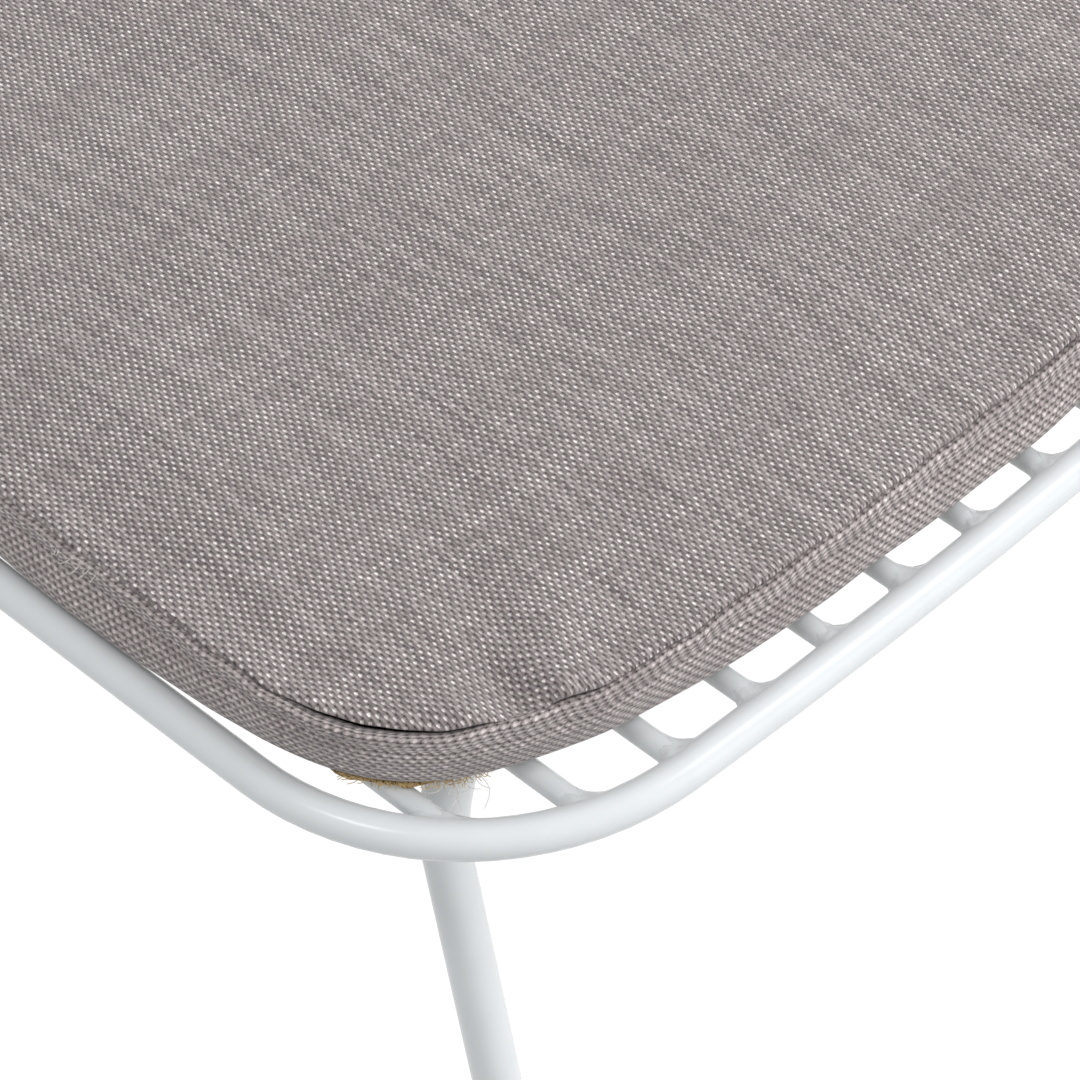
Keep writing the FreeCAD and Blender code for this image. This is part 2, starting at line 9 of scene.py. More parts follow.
import bpy
import numpy as np
from mathutils import Matrix, Vector, kdtree, noise


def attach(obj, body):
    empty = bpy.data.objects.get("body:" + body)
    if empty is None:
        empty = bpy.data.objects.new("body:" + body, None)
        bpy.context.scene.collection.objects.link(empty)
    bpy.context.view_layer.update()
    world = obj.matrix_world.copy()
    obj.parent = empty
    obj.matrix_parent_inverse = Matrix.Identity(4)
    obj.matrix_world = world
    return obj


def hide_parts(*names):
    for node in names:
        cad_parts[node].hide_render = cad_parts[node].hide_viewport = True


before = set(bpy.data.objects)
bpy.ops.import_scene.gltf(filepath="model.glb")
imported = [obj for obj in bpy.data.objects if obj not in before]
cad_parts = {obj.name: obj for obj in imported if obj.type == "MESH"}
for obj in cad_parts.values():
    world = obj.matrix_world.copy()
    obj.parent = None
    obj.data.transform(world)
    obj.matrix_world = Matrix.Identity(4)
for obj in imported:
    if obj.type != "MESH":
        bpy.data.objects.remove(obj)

logging.basicConfig(level=logging.INFO, format="%(message)s")
log = logging.getLogger("wire_chair")

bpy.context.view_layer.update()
IMAGE_SIDE = 1080

Point = tuple[float, float, float]
Colour = tuple[float, float, float]
Face = tuple[int, ...]
Socket = bpy.types.NodeSocket
Node = bpy.types.Node
Material = bpy.types.Material


def mm(value: float) -> float:
    """Turns millimetres into metres."""
    return value / 1000.0


def linear(red: int, green: int, blue: int) -> Colour:
    """Turns a screen colour, 0 to 255, into the linear values that shaders use."""
    def channel(value: int) -> float:
        """One channel of the colour."""
        share = value / 255.0
        return share / 12.92 if share <= 0.04045 else ((share + 0.055) / 1.055) ** 2.4
    return channel(red), channel(green), channel(blue)


class Slot(str, Enum):
    """The record's material slots."""
    STEEL = "white_coated_steel"
    GLIDE = "glide_plastic"
    CLOTH = "pad_cloth"
    BACKING = "pad_backing_cloth"


# Shader building


class NodeSheet:
    """A node tree with short calls for its nodes and links."""

    def __init__(self, tree: bpy.types.NodeTree) -> None:
        """Keeps the tree of a material, a world or a group."""
        self.tree = tree

    def add(self, kind: str, settings: dict | None = None, **inputs) -> Node:
        """Adds a node.

        Args:
            kind: The node's type name.
            settings: Attributes of the node itself.
            **inputs: Values or sockets, by the socket's name with _ for a space,
                or i0, i1 for its index.

        Returns:
            The new node.
        """
        node = self.tree.nodes.new(kind)
        for name, value in (settings or {}).items():
            setattr(node, name, value)
        self.feed(node, **inputs)
        return node

    def feed(self, node: Node, **inputs) -> None:
        """Sets or links a node's inputs, named as for add."""
        for name, value in inputs.items():
            by_index = name[0] == "i" and name[1:].isdigit()
            socket = node.inputs[int(name[1:]) if by_index else name.replace("_", " ")]
            if isinstance(value, Socket):
                self.link(value, socket)
            elif isinstance(value, tuple) and socket.type == "RGBA":
                socket.default_value = (*value, 1.0)
            else:
                socket.default_value = value

    def link(self, source: Socket, target: Socket) -> None:
        """Links two sockets."""
        self.tree.links.new(source, target)

    def math(self, operation: str, first, second=0.0, third=0.0) -> Socket:
        """The result of a Math node."""
        return self.add("ShaderNodeMath", {"operation": operation}, i0=first, i1=second,
                        i2=third).outputs[0]

    def times(self, first, second) -> Socket:
        """Two values multiplied."""
        return self.math("MULTIPLY", first, second)

    def less(self, first, second) -> Socket:
        """The second value taken from the first."""
        return self.math("SUBTRACT", first, second)

    def times_plus(self, first, second, third) -> Socket:
        """Two values multiplied, and a third added."""
        return self.math("MULTIPLY_ADD", first, second, third)

    def mix(self, share, first, second) -> Socket:
        """The first colour where share is 0, and the second where it is 1."""
        return self.add("ShaderNodeMix", {"data_type": "RGBA"}, i0=share, i6=first,
                        i7=second).outputs[2]

    def scaled(self, colour, factor) -> Socket:
        """A colour or a vector made longer or shorter."""
        return self.add("ShaderNodeVectorMath", {"operation": "SCALE"}, i0=colour,
                        Scale=factor).outputs[0]

    def noise(self, place, scale, detail: float, roughness: float = 0.5) -> Socket:
        """Soft noise, about 0 to 1."""
        return self.add("ShaderNodeTexNoise", None, Vector=place, Scale=scale, Detail=detail,
                        Roughness=roughness).outputs[0]

    def spread(self, value, low: float, high: float, to_low: float, to_high: float) -> Socket:
        """Maps one range of a value to another, clamped.

        Args:
            value: The socket to map.
            low: Low end of the range it comes from.
            high: High end of the range it comes from.
            to_low: Low end of the new range.
            to_high: High end of the new range.

        Returns:
            The mapped value.
        """
        return self.add("ShaderNodeMapRange", None, Value=value, From_Min=low, From_Max=high,
                        To_Min=to_low, To_Max=to_high).outputs[0]

    def bump(self, shader: Node, height, strength: float, distance: float) -> None:
        """Gives a shader the relief of a height, at most distance metres high."""
        relief = self.add("ShaderNodeBump", None, Strength=strength, Distance=distance,
                          Height=height)
        self.feed(shader, Normal=relief.outputs[0])


def blank_sheet(holder: Material | bpy.types.World) -> NodeSheet:
    """Empties the node tree of a material or a world, and gives its sheet."""
    holder.use_nodes = True
    holder.node_tree.nodes.clear()
    return NodeSheet(holder.node_tree)


class ShaderLibrary:
    """Node groups that more than one material uses, each built once."""

    def __init__(self) -> None:
        """Starts with no groups."""
        self.groups: dict[str, bpy.types.NodeTree] = {}

    def _start(self, name: str, inputs: dict[str, float | None], outputs: Sequence[str],
               ) -> tuple[NodeSheet, dict, Node]:
        """Makes an empty group with its sockets.

        Args:
            name: The group's name.
            inputs: Name and default of each input; None marks a vector.
            outputs: Names of the outputs.

        Returns:
            The sheet, the group's inputs by name and its output node.
        """
        tree = bpy.data.node_groups.new(name, "ShaderNodeTree")
        for label, default in inputs.items():
            kind = "NodeSocketVector" if default is None else "NodeSocketFloat"
            socket = tree.interface.new_socket(label, in_out="INPUT", socket_type=kind)
            if default is not None:
                socket.default_value = default
        for label in outputs:
            tree.interface.new_socket(label, in_out="OUTPUT", socket_type="NodeSocketFloat")
        sheet = NodeSheet(tree)
        self.groups[name] = tree
        return sheet, sheet.add("NodeGroupInput").outputs, sheet.add("NodeGroupOutput")

    def place(self, sheet: NodeSheet, name: str, **inputs) -> Node:
        """Puts a group into a material, building the group the first time.

        Args:
            sheet: The material's sheet.
            name: The group's name, which is also the name of its builder.
            **inputs: Values or sockets for its inputs.

        Returns:
            The group node.
        """
        if name not in self.groups:
            getattr(self, "_build_" + name)(name)
        return sheet.add("ShaderNodeGroup", {"node_tree": self.groups[name]}, **inputs)

    def _build_coat_film(self, name: str) -> None:
        """A sprayed coat: slow ripples, fine grain and rare dust specks."""
        sheet, given, made = self._start(
            name, {"Place": None, "Ripple Scale": 120.0, "Grain Scale": 1500.0,
                   "Speck Share": 0.05},
            ("Ripple", "Grain", "Speck"))
        place = given["Place"]
        cells = sheet.add("ShaderNodeTexVoronoi", None, Vector=place, Scale=70.0, Randomness=1.0)
        tint = sheet.add("ShaderNodeSeparateColor", None, Color=cells.outputs["Color"])
        chosen = sheet.math("LESS_THAN", tint.outputs[0], given["Speck Share"])
        dot = sheet.spread(cells.outputs["Distance"], 0.012, 0.03, 1.0, 0.0)
        sheet.feed(made, Ripple=sheet.noise(place, given["Ripple Scale"], 1.5, 0.4),
                   Grain=sheet.noise(place, given["Grain Scale"], 2.0),
                   Speck=sheet.times(chosen, dot))

    def _build_plain_weave(self, name: str) -> None:
        """Fat warp threads that pass over and under thin, pale weft threads."""
        sheet, given, made = self._start(
            name, {"Place": None, "Warp Pitch": mm(0.82), "Weft Pitch": mm(1.31),
                   "Waver": mm(0.2), "Skew": 0.133, "Rise": 0.55, "Warp Width": 1.03,
                   "Weft Width": 0.62, "Weft Lead": 0.12, "Squeeze": 0.05},
            ("Height", "Weft On Top", "Warp Tone", "Weft Tone", "Fibre", "Flank", "Edge",
             "Chance"))
        wander = sheet.add("ShaderNodeTexNoise", None, Vector=given["Place"], Scale=90.0,
                           Detail=1.0)
        centred = sheet.add("ShaderNodeVectorMath", {"operation": "SUBTRACT"},
                            i0=wander.outputs["Color"], i1=(0.5, 0.5, 0.5))
        moved = sheet.add("ShaderNodeVectorMath", {"operation": "ADD"}, i0=given["Place"],
                          i1=sheet.scaled(centred.outputs[0], given["Waver"]))
        axes = sheet.add("ShaderNodeSeparateXYZ", None, Vector=moved.outputs[0]).outputs
        flat_warp = sheet.math("DIVIDE", axes[0], given["Warp Pitch"])
        weft_at = sheet.math("DIVIDE", sheet.times_plus(axes[0], given["Skew"], axes[1]),
                             given["Weft Pitch"])
        widen = sheet.times(sheet.math("COSINE", sheet.times(flat_warp, math.pi)),
                            sheet.math("SINE", sheet.times(weft_at, math.pi)))
        warp_at = sheet.times_plus(widen, given["Squeeze"], flat_warp)
        warp_number = sheet.math("FLOOR", warp_at)
        weft_number = sheet.math("FLOOR", weft_at)
        warp_reach, warp_round, warp_wave = self._thread(
            sheet, warp_at, warp_number, weft_at, 1.0, given["Warp Width"])
        weft_along = sheet.math("ADD", warp_at, given["Weft Lead"])
        _, weft_round, weft_wave = self._thread(
            sheet, weft_at, weft_number, weft_along, -1.0, given["Weft Width"])

        # Heights of both families, of which the higher shows
        warp = sheet.times_plus(warp_wave, given["Rise"], warp_round)
        crown = sheet.times(weft_wave, sheet.math("ABSOLUTE", weft_wave))
        weft = sheet.times_plus(weft_round, 0.45, sheet.times_plus(crown, 0.84, -0.2))
        on_top = sheet.math("GREATER_THAN", weft, warp)

        # The side of a risen warp thread that faces away from the light
        hidden = sheet.spread(warp_reach, 0.05, -0.7, 0.0, 1.0)
        risen = sheet.spread(warp_wave, -0.2, 0.35, 0.0, 1.0)
        place_in_cell = sheet.less(weft_at, weft_number)
        shaded = sheet.times(sheet.times(hidden, risen),
                             sheet.times_plus(place_in_cell, 0.9, 0.4))

        # Mask of painted shade along the rounded edge of each place where two threads cross
        lengthwise = sheet.times(
            sheet.less(weft_at, sheet.math("ADD", weft_number, 0.5)), 2.0)
        reach = sheet.times_plus(lengthwise, lengthwise, sheet.times(warp_reach, warp_reach))
        cell = sheet.add("ShaderNodeCombineXYZ", None, X=warp_number, Y=weft_number, Z=0.0)
        chance = sheet.add("ShaderNodeTexWhiteNoise", None, Vector=cell.outputs[0])

        ply = sheet.times_plus(weft_at, -0.8, sheet.times(warp_at, 3.1))
        spun = sheet.add("ShaderNodeCombineXYZ", None, X=ply, Y=weft_at, Z=0.0)
        sheet.feed(made, Height=sheet.math("MAXIMUM", warp, weft), Weft_On_Top=on_top,
                   Warp_Tone=self._thread_tone(sheet, warp_number, axes[1], 3.1),
                   Weft_Tone=self._thread_tone(sheet, weft_number, axes[0], 8.7),
                   Fibre=sheet.noise(spun.outputs[0], 1.0, 2.5, 0.65),
                   Flank=sheet.times(shaded, sheet.less(1.0, on_top)),
                   Edge=sheet.spread(reach, 0.45, 1.5, 0.0, 1.0),
                   Chance=chance.outputs["Value"])

    @staticmethod
    def _thread_tone(sheet: NodeSheet, number, along, seed: float) -> Socket:
        """A tone that differs from thread to thread and drifts along each.

        Args:
            sheet: The group's sheet.
            number: The thread's number.
            along: Place along the thread, in metres.
            seed: Sets this family of threads apart.

        Returns:
            The tone, about 0 to 1.
        """
        spot = sheet.add("ShaderNodeCombineXYZ", None, X=sheet.times(number, 1.31),
                         Y=sheet.times(along, 30.0), Z=seed)
        return sheet.noise(spot.outputs[0], 1.0, 2.0, 0.6)

    @staticmethod
    def _thread(sheet: NodeSheet, across, number, along, sign: float, width,
                ) -> tuple[Socket, Socket, Socket]:
        """Shape of one family of threads.

        Args:
            sheet: The group's sheet.
            across: Place across the threads, in pitches.
            number: The thread's number.
            along: Place along the threads, in pitches of the other family.
            sign: 1.0, or -1.0 for the family that starts below.
            width: The thread's width, in pitches.

        Returns:
            Place from edge to edge, -1 to 1, the round section's height, 0 to 1, and the
            over and under wave, -1 to 1.
        """
        offset = sheet.less(sheet.less(across, number), 0.5)
        reach = sheet.math("DIVIDE", sheet.times(offset, 2.0), width)
        hollow = sheet.less(1.0, sheet.times(reach, reach))
        round_top = sheet.math("SQRT", sheet.math("MAXIMUM", hollow, 0.0))
        side = sheet.math("COSINE", sheet.times(number, math.pi))
        wave = sheet.math("SINE", sheet.times(along, math.pi))
        return reach, round_top, sheet.times(sheet.times(side, wave), sign)


SHADERS = ShaderLibrary()


def new_material(name: str) -> tuple[Material, NodeSheet, Node]:
    """Makes a material, and gives it with its sheet and its Principled node."""
    material = bpy.data.materials.new(name)
    sheet = blank_sheet(material)
    shader = sheet.add("ShaderNodeBsdfPrincipled")
    sheet.link(shader.outputs[0], sheet.add("ShaderNodeOutputMaterial").inputs["Surface"])
    return material, sheet, shader


@dataclass(frozen=True)
class PowderCoat:
    """White powder coat: a semi-gloss film with slow ripples, fine grain and rare dust specks."""
    colour: Colour = linear(228, 232, 234)
    shade: Colour = linear(221, 226, 229)
    speck: Colour = linear(120, 116, 112)
    shade_share: float = 0.35
    speck_share: float = 0.55
    roughness: tuple[float, float] = (0.19, 0.25)
    specular: float = 0.4
    ripple_height: float = mm(0.006)
    grain_share: float = 0.08

    def build(self) -> Material:
        """Builds the material."""
        material, sheet, shader = new_material("white_powder_coat")
        place = sheet.add("ShaderNodeTexCoord").outputs["Object"]
        film = SHADERS.place(sheet, "coat_film", Place=place).outputs
        tone = sheet.spread(film["Ripple"], 0.35, 0.7, 0.0, self.shade_share)
        base = sheet.mix(tone, self.colour, self.shade)
        specked = sheet.mix(sheet.times(film["Speck"], self.speck_share), base, self.speck)
        sheet.feed(shader, Base_Color=specked, Specular_IOR_Level=self.specular,
                   Roughness=sheet.spread(film["Grain"], 0.3, 0.7, *self.roughness))
        relief = sheet.times_plus(film["Grain"], self.grain_share, film["Ripple"])
        sheet.bump(shader, relief, 0.6, self.ripple_height)
        return material


@dataclass(frozen=True)
class GlidePlastic:
    """Moulded foot plastic, satin, greyer toward its lower edge."""
    colour: Colour = linear(226, 228, 228)
    low_grey: Colour = linear(168, 166, 162)
    grey_band_height: float = mm(4.0)
    grey_band_share: tuple[float, float] = (0.2, 0.9)
    roughness: tuple[float, float] = (0.42, 0.56)
    grain_height: float = mm(0.03)

    def build(self) -> Material:
        """Builds the material."""
        material, sheet, shader = new_material("glide_plastic")
        place = sheet.add("ShaderNodeTexCoord").outputs["Object"]
        film = SHADERS.place(sheet, "coat_film", Place=place, Grain_Scale=900.0).outputs
        height = sheet.add("ShaderNodeSeparateXYZ", None, Vector=place).outputs[2]
        # Greyer within the lowest few millimetres, by an amount that varies with the ripple noise
        low = sheet.spread(height, 0.0, self.grey_band_height, 1.0, 0.0)
        greyed_low = sheet.times(low, sheet.spread(film["Ripple"], 0.35, 0.65, *self.grey_band_share))
        sheet.feed(shader, Base_Color=sheet.mix(greyed_low, self.colour, self.low_grey),
                   Roughness=sheet.spread(film["Grain"], 0.3, 0.7, *self.roughness))
        sheet.bump(shader, film["Grain"], 0.4, self.grain_height)
        return material


@dataclass(frozen=True)
class WovenCloth:
    """A coarse plain weave with a paler weft and slubs, and painted shade in the gaps between the
    threads.
    """
    name: str
    warp_dark: Colour
    warp_pale: Colour
    weft_dark: Colour
    weft_pale: Colour
    # Painted shade: the colour laid where the threads sink, on their flanks away from the light and
    # round each crossing
    gap: Colour
    warp_pitch: float = mm(0.82)
    weft_pitch: float = mm(1.31)
    thread_height: float = mm(0.22)
    roughness: float = 0.85
    specular: float = 0.2
    sheen: float = 0.25
    sheen_roughness: float = 0.5
    fibre_tone: tuple[float, float] = (0.70, 1.30)
    fibre_relief: float = 0.18
    cell_tone: tuple[float, float] = (0.34, 0.87)
    gap_shade_power: float = 1.4
    flank_shade: float = 0.95
    edge_shade: float = 0.25
    lit_height: float = 0.85

    def build(self) -> Material:
        """Builds the material."""
        material, sheet, shader = new_material(self.name)
        place = sheet.add("ShaderNodeUVMap", {"uv_map": "cloth"}).outputs[0]
        weave = SHADERS.place(sheet, "plain_weave", Place=place, Warp_Pitch=self.warp_pitch,
                              Weft_Pitch=self.weft_pitch).outputs
        warp = sheet.mix(sheet.spread(weave["Warp Tone"], 0.28, 0.72, 0.0, 1.0),
                         self.warp_dark, self.warp_pale)
        weft = sheet.mix(sheet.spread(weave["Weft Tone"], 0.34, 0.66, 0.0, 1.0),
                         self.weft_dark, self.weft_pale)
        thread = sheet.mix(weave["Weft On Top"], warp, weft)
        # Painted shade: the gap colour where the threads sink, on each risen warp's flank away from
        # the light and along each crossing's edge
        depth = sheet.spread(weave["Height"], -0.1, self.lit_height, 1.0, 0.0)
        shade = sheet.math("MAXIMUM", sheet.math("POWER", depth, self.gap_shade_power),
                           sheet.times(weave["Edge"], self.edge_shade))
        painted_shade = sheet.math("MAXIMUM", shade, sheet.times(weave["Flank"], self.flank_shade))
        fibre = sheet.spread(weave["Fibre"], 0.3, 0.7, *self.fibre_tone)
        own = sheet.times_plus(weave["Chance"], *self.cell_tone)
        toned = sheet.scaled(thread, sheet.times(fibre, own))
        sheet.feed(shader, Base_Color=sheet.mix(painted_shade, toned, self.gap),
                   Roughness=self.roughness, Specular_IOR_Level=self.specular,
                   Sheen_Weight=self.sheen, Sheen_Roughness=self.sheen_roughness)
        relief = sheet.times_plus(weave["Fibre"], self.fibre_relief, weave["Height"])
        sheet.bump(shader, relief, 1.0, self.thread_height)
        return material


@dataclass(frozen=True)
class SewingThread:
    """Twisted thread of the seams and of loose ends."""
    name: str
    colour: Colour
    twist_scale: float = 2600.0
    tone: tuple[float, float] = (0.7, 1.15)
    roughness: float = 0.8
    twist_height: float = mm(0.1)

    def build(self) -> Material:
        """Builds the material."""
        material, sheet, shader = new_material(self.name)
        place = sheet.add("ShaderNodeTexCoord").outputs["Object"]
        twist = sheet.noise(place, self.twist_scale, 2.0)
        toned = sheet.scaled(self.colour, sheet.spread(twist, 0.3, 0.7, *self.tone))
        sheet.feed(shader, Base_Color=toned, Roughness=self.roughness)
        sheet.bump(shader, twist, 0.5, self.twist_height)
        return material


# Meshes


def add_piece(name: str, points: np.ndarray, faces: Sequence[Sequence[int]],
              material: Material, smooth: bool = True) -> bpy.types.Object:
    """Makes a mesh object in the row frame.

    Args:
        name: The piece's name.
        points: Corner points, in metres.
        faces: Corner numbers of each face.
        material: Its finish.
        smooth: Whether its faces shade smoothly.

    Returns:
        The new object.
    """
    mesh = bpy.data.meshes.new(name)
    mesh.from_pydata([tuple(map(float, point)) for point in points], [], list(faces))
    mesh.validate()
    mesh.update()
    mesh.polygons.foreach_set("use_smooth", [smooth] * len(mesh.polygons))
    mesh.materials.append(material)
    piece = bpy.data.objects.new(name, mesh)
    bpy.context.scene.collection.objects.link(piece)
    return piece


def grid_faces(rows: int, columns: int, first: int = 0, wrapped: bool = False) -> list[Face]:
    """Faces between closed rows of points.

    Args:
        rows: Number of rows.
        columns: Points in a row.
        first: Number of the first point.
        wrapped: Whether the last row meets the first.

    Returns:
        The faces.
    """
    faces = []
    for row in range(rows if wrapped else rows - 1):
        low = first + row * columns
        high = first + (row + 1) % rows * columns
        for column in range(columns):
            after = (column + 1) % columns
            faces.append((low + column, low + after, high + after, high + column))
    return faces


def tube_faces(rows: int, columns: int, first: int = 0, turned: bool = False) -> list[Face]:
    """Faces between closed rows of points, with a face over each end.

    Args:
        rows: Number of rows.
        columns: Points in a row.
        first: Number of the first point.
        turned: Whether the end faces face the other way.

    Returns:
        The faces.
    """
    start = tuple(range(first, first + columns))
    last = first + (rows - 1) * columns
    end = tuple(range(last, last + columns))
    ends = [start, end[::-1]] if turned else [start[::-1], end]
    return grid_faces(rows, columns, first) + ends


def write_cloth_places(mesh: bpy.types.Mesh, places: np.ndarray) -> None:
    """Writes where each face corner lies in the flat cloth, in metres.

    Args:
        mesh: The mesh.
        places: A place for each point, or for each face corner.
    """
    if len(places) == len(mesh.vertices):
        numbers = np.zeros(len(mesh.loops), dtype=np.int32)
        mesh.loops.foreach_get("vertex_index", numbers)
        places = places[numbers]
    layer = mesh.uv_layers.new(name="cloth")
    layer.data.foreach_set("uv", np.ascontiguousarray(places, dtype=np.float32).ravel())


# Studio


@dataclass
class PhotoCamera:
    """The camera that the photograph was taken with, fitted to the seat's front corner."""
    place: Point = (-0.52813, -0.58354, 1.10939)
    heading_deg: float = 43.54
    pitch_deg: float = 49.51
    roll_deg: float = -4.0
    focal_px: float = 4500.0
    sensor_mm: float = 36.0

    def build(self) -> bpy.types.Object:
        """Makes the camera and sets it as the scene's."""
        heading = math.radians(self.heading_deg)
        pitch = math.radians(self.pitch_deg)
        roll = math.radians(self.roll_deg)
        forward = Vector((math.sin(heading) * math.cos(pitch),
                          math.cos(heading) * math.cos(pitch), -math.sin(pitch)))
        level = Vector((math.cos(heading), -math.sin(heading), 0.0))
        down = forward.cross(level)
        right = math.cos(roll) * level - math.sin(roll) * down
        lower = math.sin(roll) * level + math.cos(roll) * down
        data = bpy.data.cameras.new("photo_camera")
        data.sensor_width = self.sensor_mm
        data.lens = self.focal_px * self.sensor_mm / IMAGE_SIDE
        data.clip_start = 0.01
        data.clip_end = 50.0
        camera = bpy.data.objects.new("photo_camera", data)
        turn = Matrix((right, -lower, -forward)).transposed().to_4x4()
        camera.matrix_world = Matrix.Translation(Vector(self.place)) @ turn
        bpy.context.scene.collection.objects.link(camera)
        bpy.context.scene.camera = camera
        return camera


@dataclass(frozen=True)
class SoftLight:
    """A soft box that points at the seat."""
    name: str
    direction: Point
    distance: float
    width: float
    height: float
    power: float
    mirrored: bool = True

    def build(self, target: Vector) -> bpy.types.Object:
        """Makes the lamp.

        Args:
            target: The point that it faces.

        Returns:
            The lamp.
        """
        data = bpy.data.lights.new(self.name, "AREA")
        data.shape = "RECTANGLE"
        data.size = self.width
        data.size_y = self.height
        data.energy = self.power
        lamp = bpy.data.objects.new(self.name, data)
        lamp.visible_glossy = self.mirrored
        away = Vector(self.direction).normalized()
        lamp.matrix_world = Matrix.Translation(target + away * self.distance) @ (
            away.to_track_quat("Z", "Y").to_matrix().to_4x4())
        bpy.context.scene.collection.objects.link(lamp)
        return lamp


@dataclass
class Studio:
    """A white studio: pale floor, white surroundings and soft boxes."""
    floor_reach: float = 6.0
    floor_glow: float = 0.70
    floor_colour: float = 0.42
    room_light: float = 0.68
    target: Point = (-0.10, -0.10, 0.45)
    lights: tuple[SoftLight, ...] = (
        SoftLight("front_right_box", (0.44, -0.47, 0.77), 2.2, 0.8, 0.8, 10.0),
        SoftLight("left_box", (-0.48, 0.08, 0.87), 2.4, 0.4, 0.4, 7.0),
        SoftLight("low_front_fill", (0.45, -0.86, 0.22), 2.0, 1.6, 0.8, 16.0,
                  mirrored=False),
    )

    def build(self) -> None:
        """Makes the floor, the world and the lamps."""
        self._world()
        self._floor()
        for light in self.lights:
            light.build(Vector(self.target))
        bpy.context.scene.view_settings.view_transform = "Standard"
        log.info("studio: %d soft boxes", len(self.lights))

    @staticmethod
    def _seen_directly(sheet: NodeSheet) -> Socket:
        """1 for camera, glossy and transmission rays, which show the backdrop's colour."""
        path = sheet.add("ShaderNodeLightPath").outputs
        mirrored = sheet.math("MAXIMUM", path["Is Glossy Ray"], path["Is Transmission Ray"])
        return sheet.math("MAXIMUM", path["Is Camera Ray"], mirrored)

    def _world(self) -> None:
        """White where it is seen, and a plain soft light elsewhere."""
        world = bpy.data.worlds.new("white_room")
        sheet = blank_sheet(world)
        strength = sheet.spread(self._seen_directly(sheet), 0.0, 1.0, self.room_light, 1.0)
        back = sheet.add("ShaderNodeBackground", None, Color=(1.0, 1.0, 1.0), Strength=strength)
        sheet.link(back.outputs[0], sheet.add("ShaderNodeOutputWorld").inputs["Surface"])
        bpy.context.scene.world = world

    def _floor(self) -> None:
        """A pale floor that keeps the chair's soft shadow."""
        material = bpy.data.materials.new("pale_floor")
        sheet = blank_sheet(material)
        diffuse = sheet.add("ShaderNodeBsdfDiffuse", None, Color=(self.floor_colour,) * 3)
        glow = sheet.add("ShaderNodeEmission", None, Color=(1.0, 1.0, 1.0),
                         Strength=sheet.times(self._seen_directly(sheet), self.floor_glow))
        both = sheet.add("ShaderNodeAddShader", None, i0=diffuse.outputs[0], i1=glow.outputs[0])
        sheet.link(both.outputs[0], sheet.add("ShaderNodeOutputMaterial").inputs["Surface"])
        points = self.floor_reach * np.array([(-1, -1, 0), (1, -1, 0), (1, 1, 0), (-1, 1, 0)])
        floor = add_piece("floor", points, [(0, 1, 2, 3)], material, smooth=False)


# Frame


@dataclass
class SeatSizes:
    """The seat's real sizes, in metres."""
    half_width: float = 0.215
    seat_z: float = 0.446
    seat_front: float = -0.24015
    side_run: float = 0.380
    corner: float = 0.060
    bow: float = 1.600
    bend: float = 0.060
    lean: float = math.radians(12.0)
    back_rise: float = 0.370
    top_corner: float = 0.080
    top_bow: float = 1.400
    rim_r: float = 0.004
    wire_r: float = 0.0025
    wire_count: int = 21
    wire_margin: float = 0.015
    front_bow_set: float = 0.0565
    rear_bow_set: float = 0.340
    leg_r: float = 0.005
    leg_inset: float = 0.0305
    leg_bend: float = 0.035
    back_cross_places: tuple[float, ...] = (0.070, 0.140, 0.210)

    @property
    def bend_y(self) -> float:
        """Where the seat starts to turn up into the back."""
        return self.seat_front + self.side_run

    @property
    def bend_back(self) -> float:
        """How far the rear bend reaches rearward."""
        return self.bend * math.cos(self.lean)

    @property
    def bend_up(self) -> float:
        """How far the rear bend rises."""
        return self.bend * (1.0 - math.sin(self.lean))

    @property
    def lean_length(self) -> float:
        """Length of the straight back, from the bend to the top rod."""
        return (self.back_rise - self.bend_up) / math.cos(self.lean)

    def wire_places(self) -> list[float]:
        """X of each long wire."""
        outer = self.half_width - self.wire_margin
        step = 2.0 * outer / (self.wire_count - 1)
        return [index * step - outer for index in range(self.wire_count)]

    def _fall(self, x: float, bow: float, corner: float) -> float:
        """How far a bowed rod with rounded corners has fallen back from its middle, at x."""
        centre_x = self.half_width - corner
        if abs(x) <= centre_x * bow / (bow - corner):
            return bow - math.sqrt(bow ** 2 - x ** 2)
        centre_fall = bow - math.sqrt((bow - corner) ** 2 - centre_x ** 2)
        return centre_fall - math.sqrt(corner ** 2 - (abs(x) - centre_x) ** 2)

    def front_axis(self, x: float) -> float:
        """Y of the front rod's axis at x."""
        return self.seat_front + self._fall(x, self.bow, self.corner)

    def top_axis(self, x: float) -> float:
        """Length up the lean to the top rod's axis at x."""
        return self.lean_length - self._fall(x, self.top_bow, self.top_corner)

    def back_point(self, x: float, s: float) -> Vector:
        """Point of the leaning back, s up the lean from the bend."""
        return Vector((x, self.bend_y + self.bend_back + s * math.sin(self.lean),
                       self.seat_z + self.bend_up + s * math.cos(self.lean)))


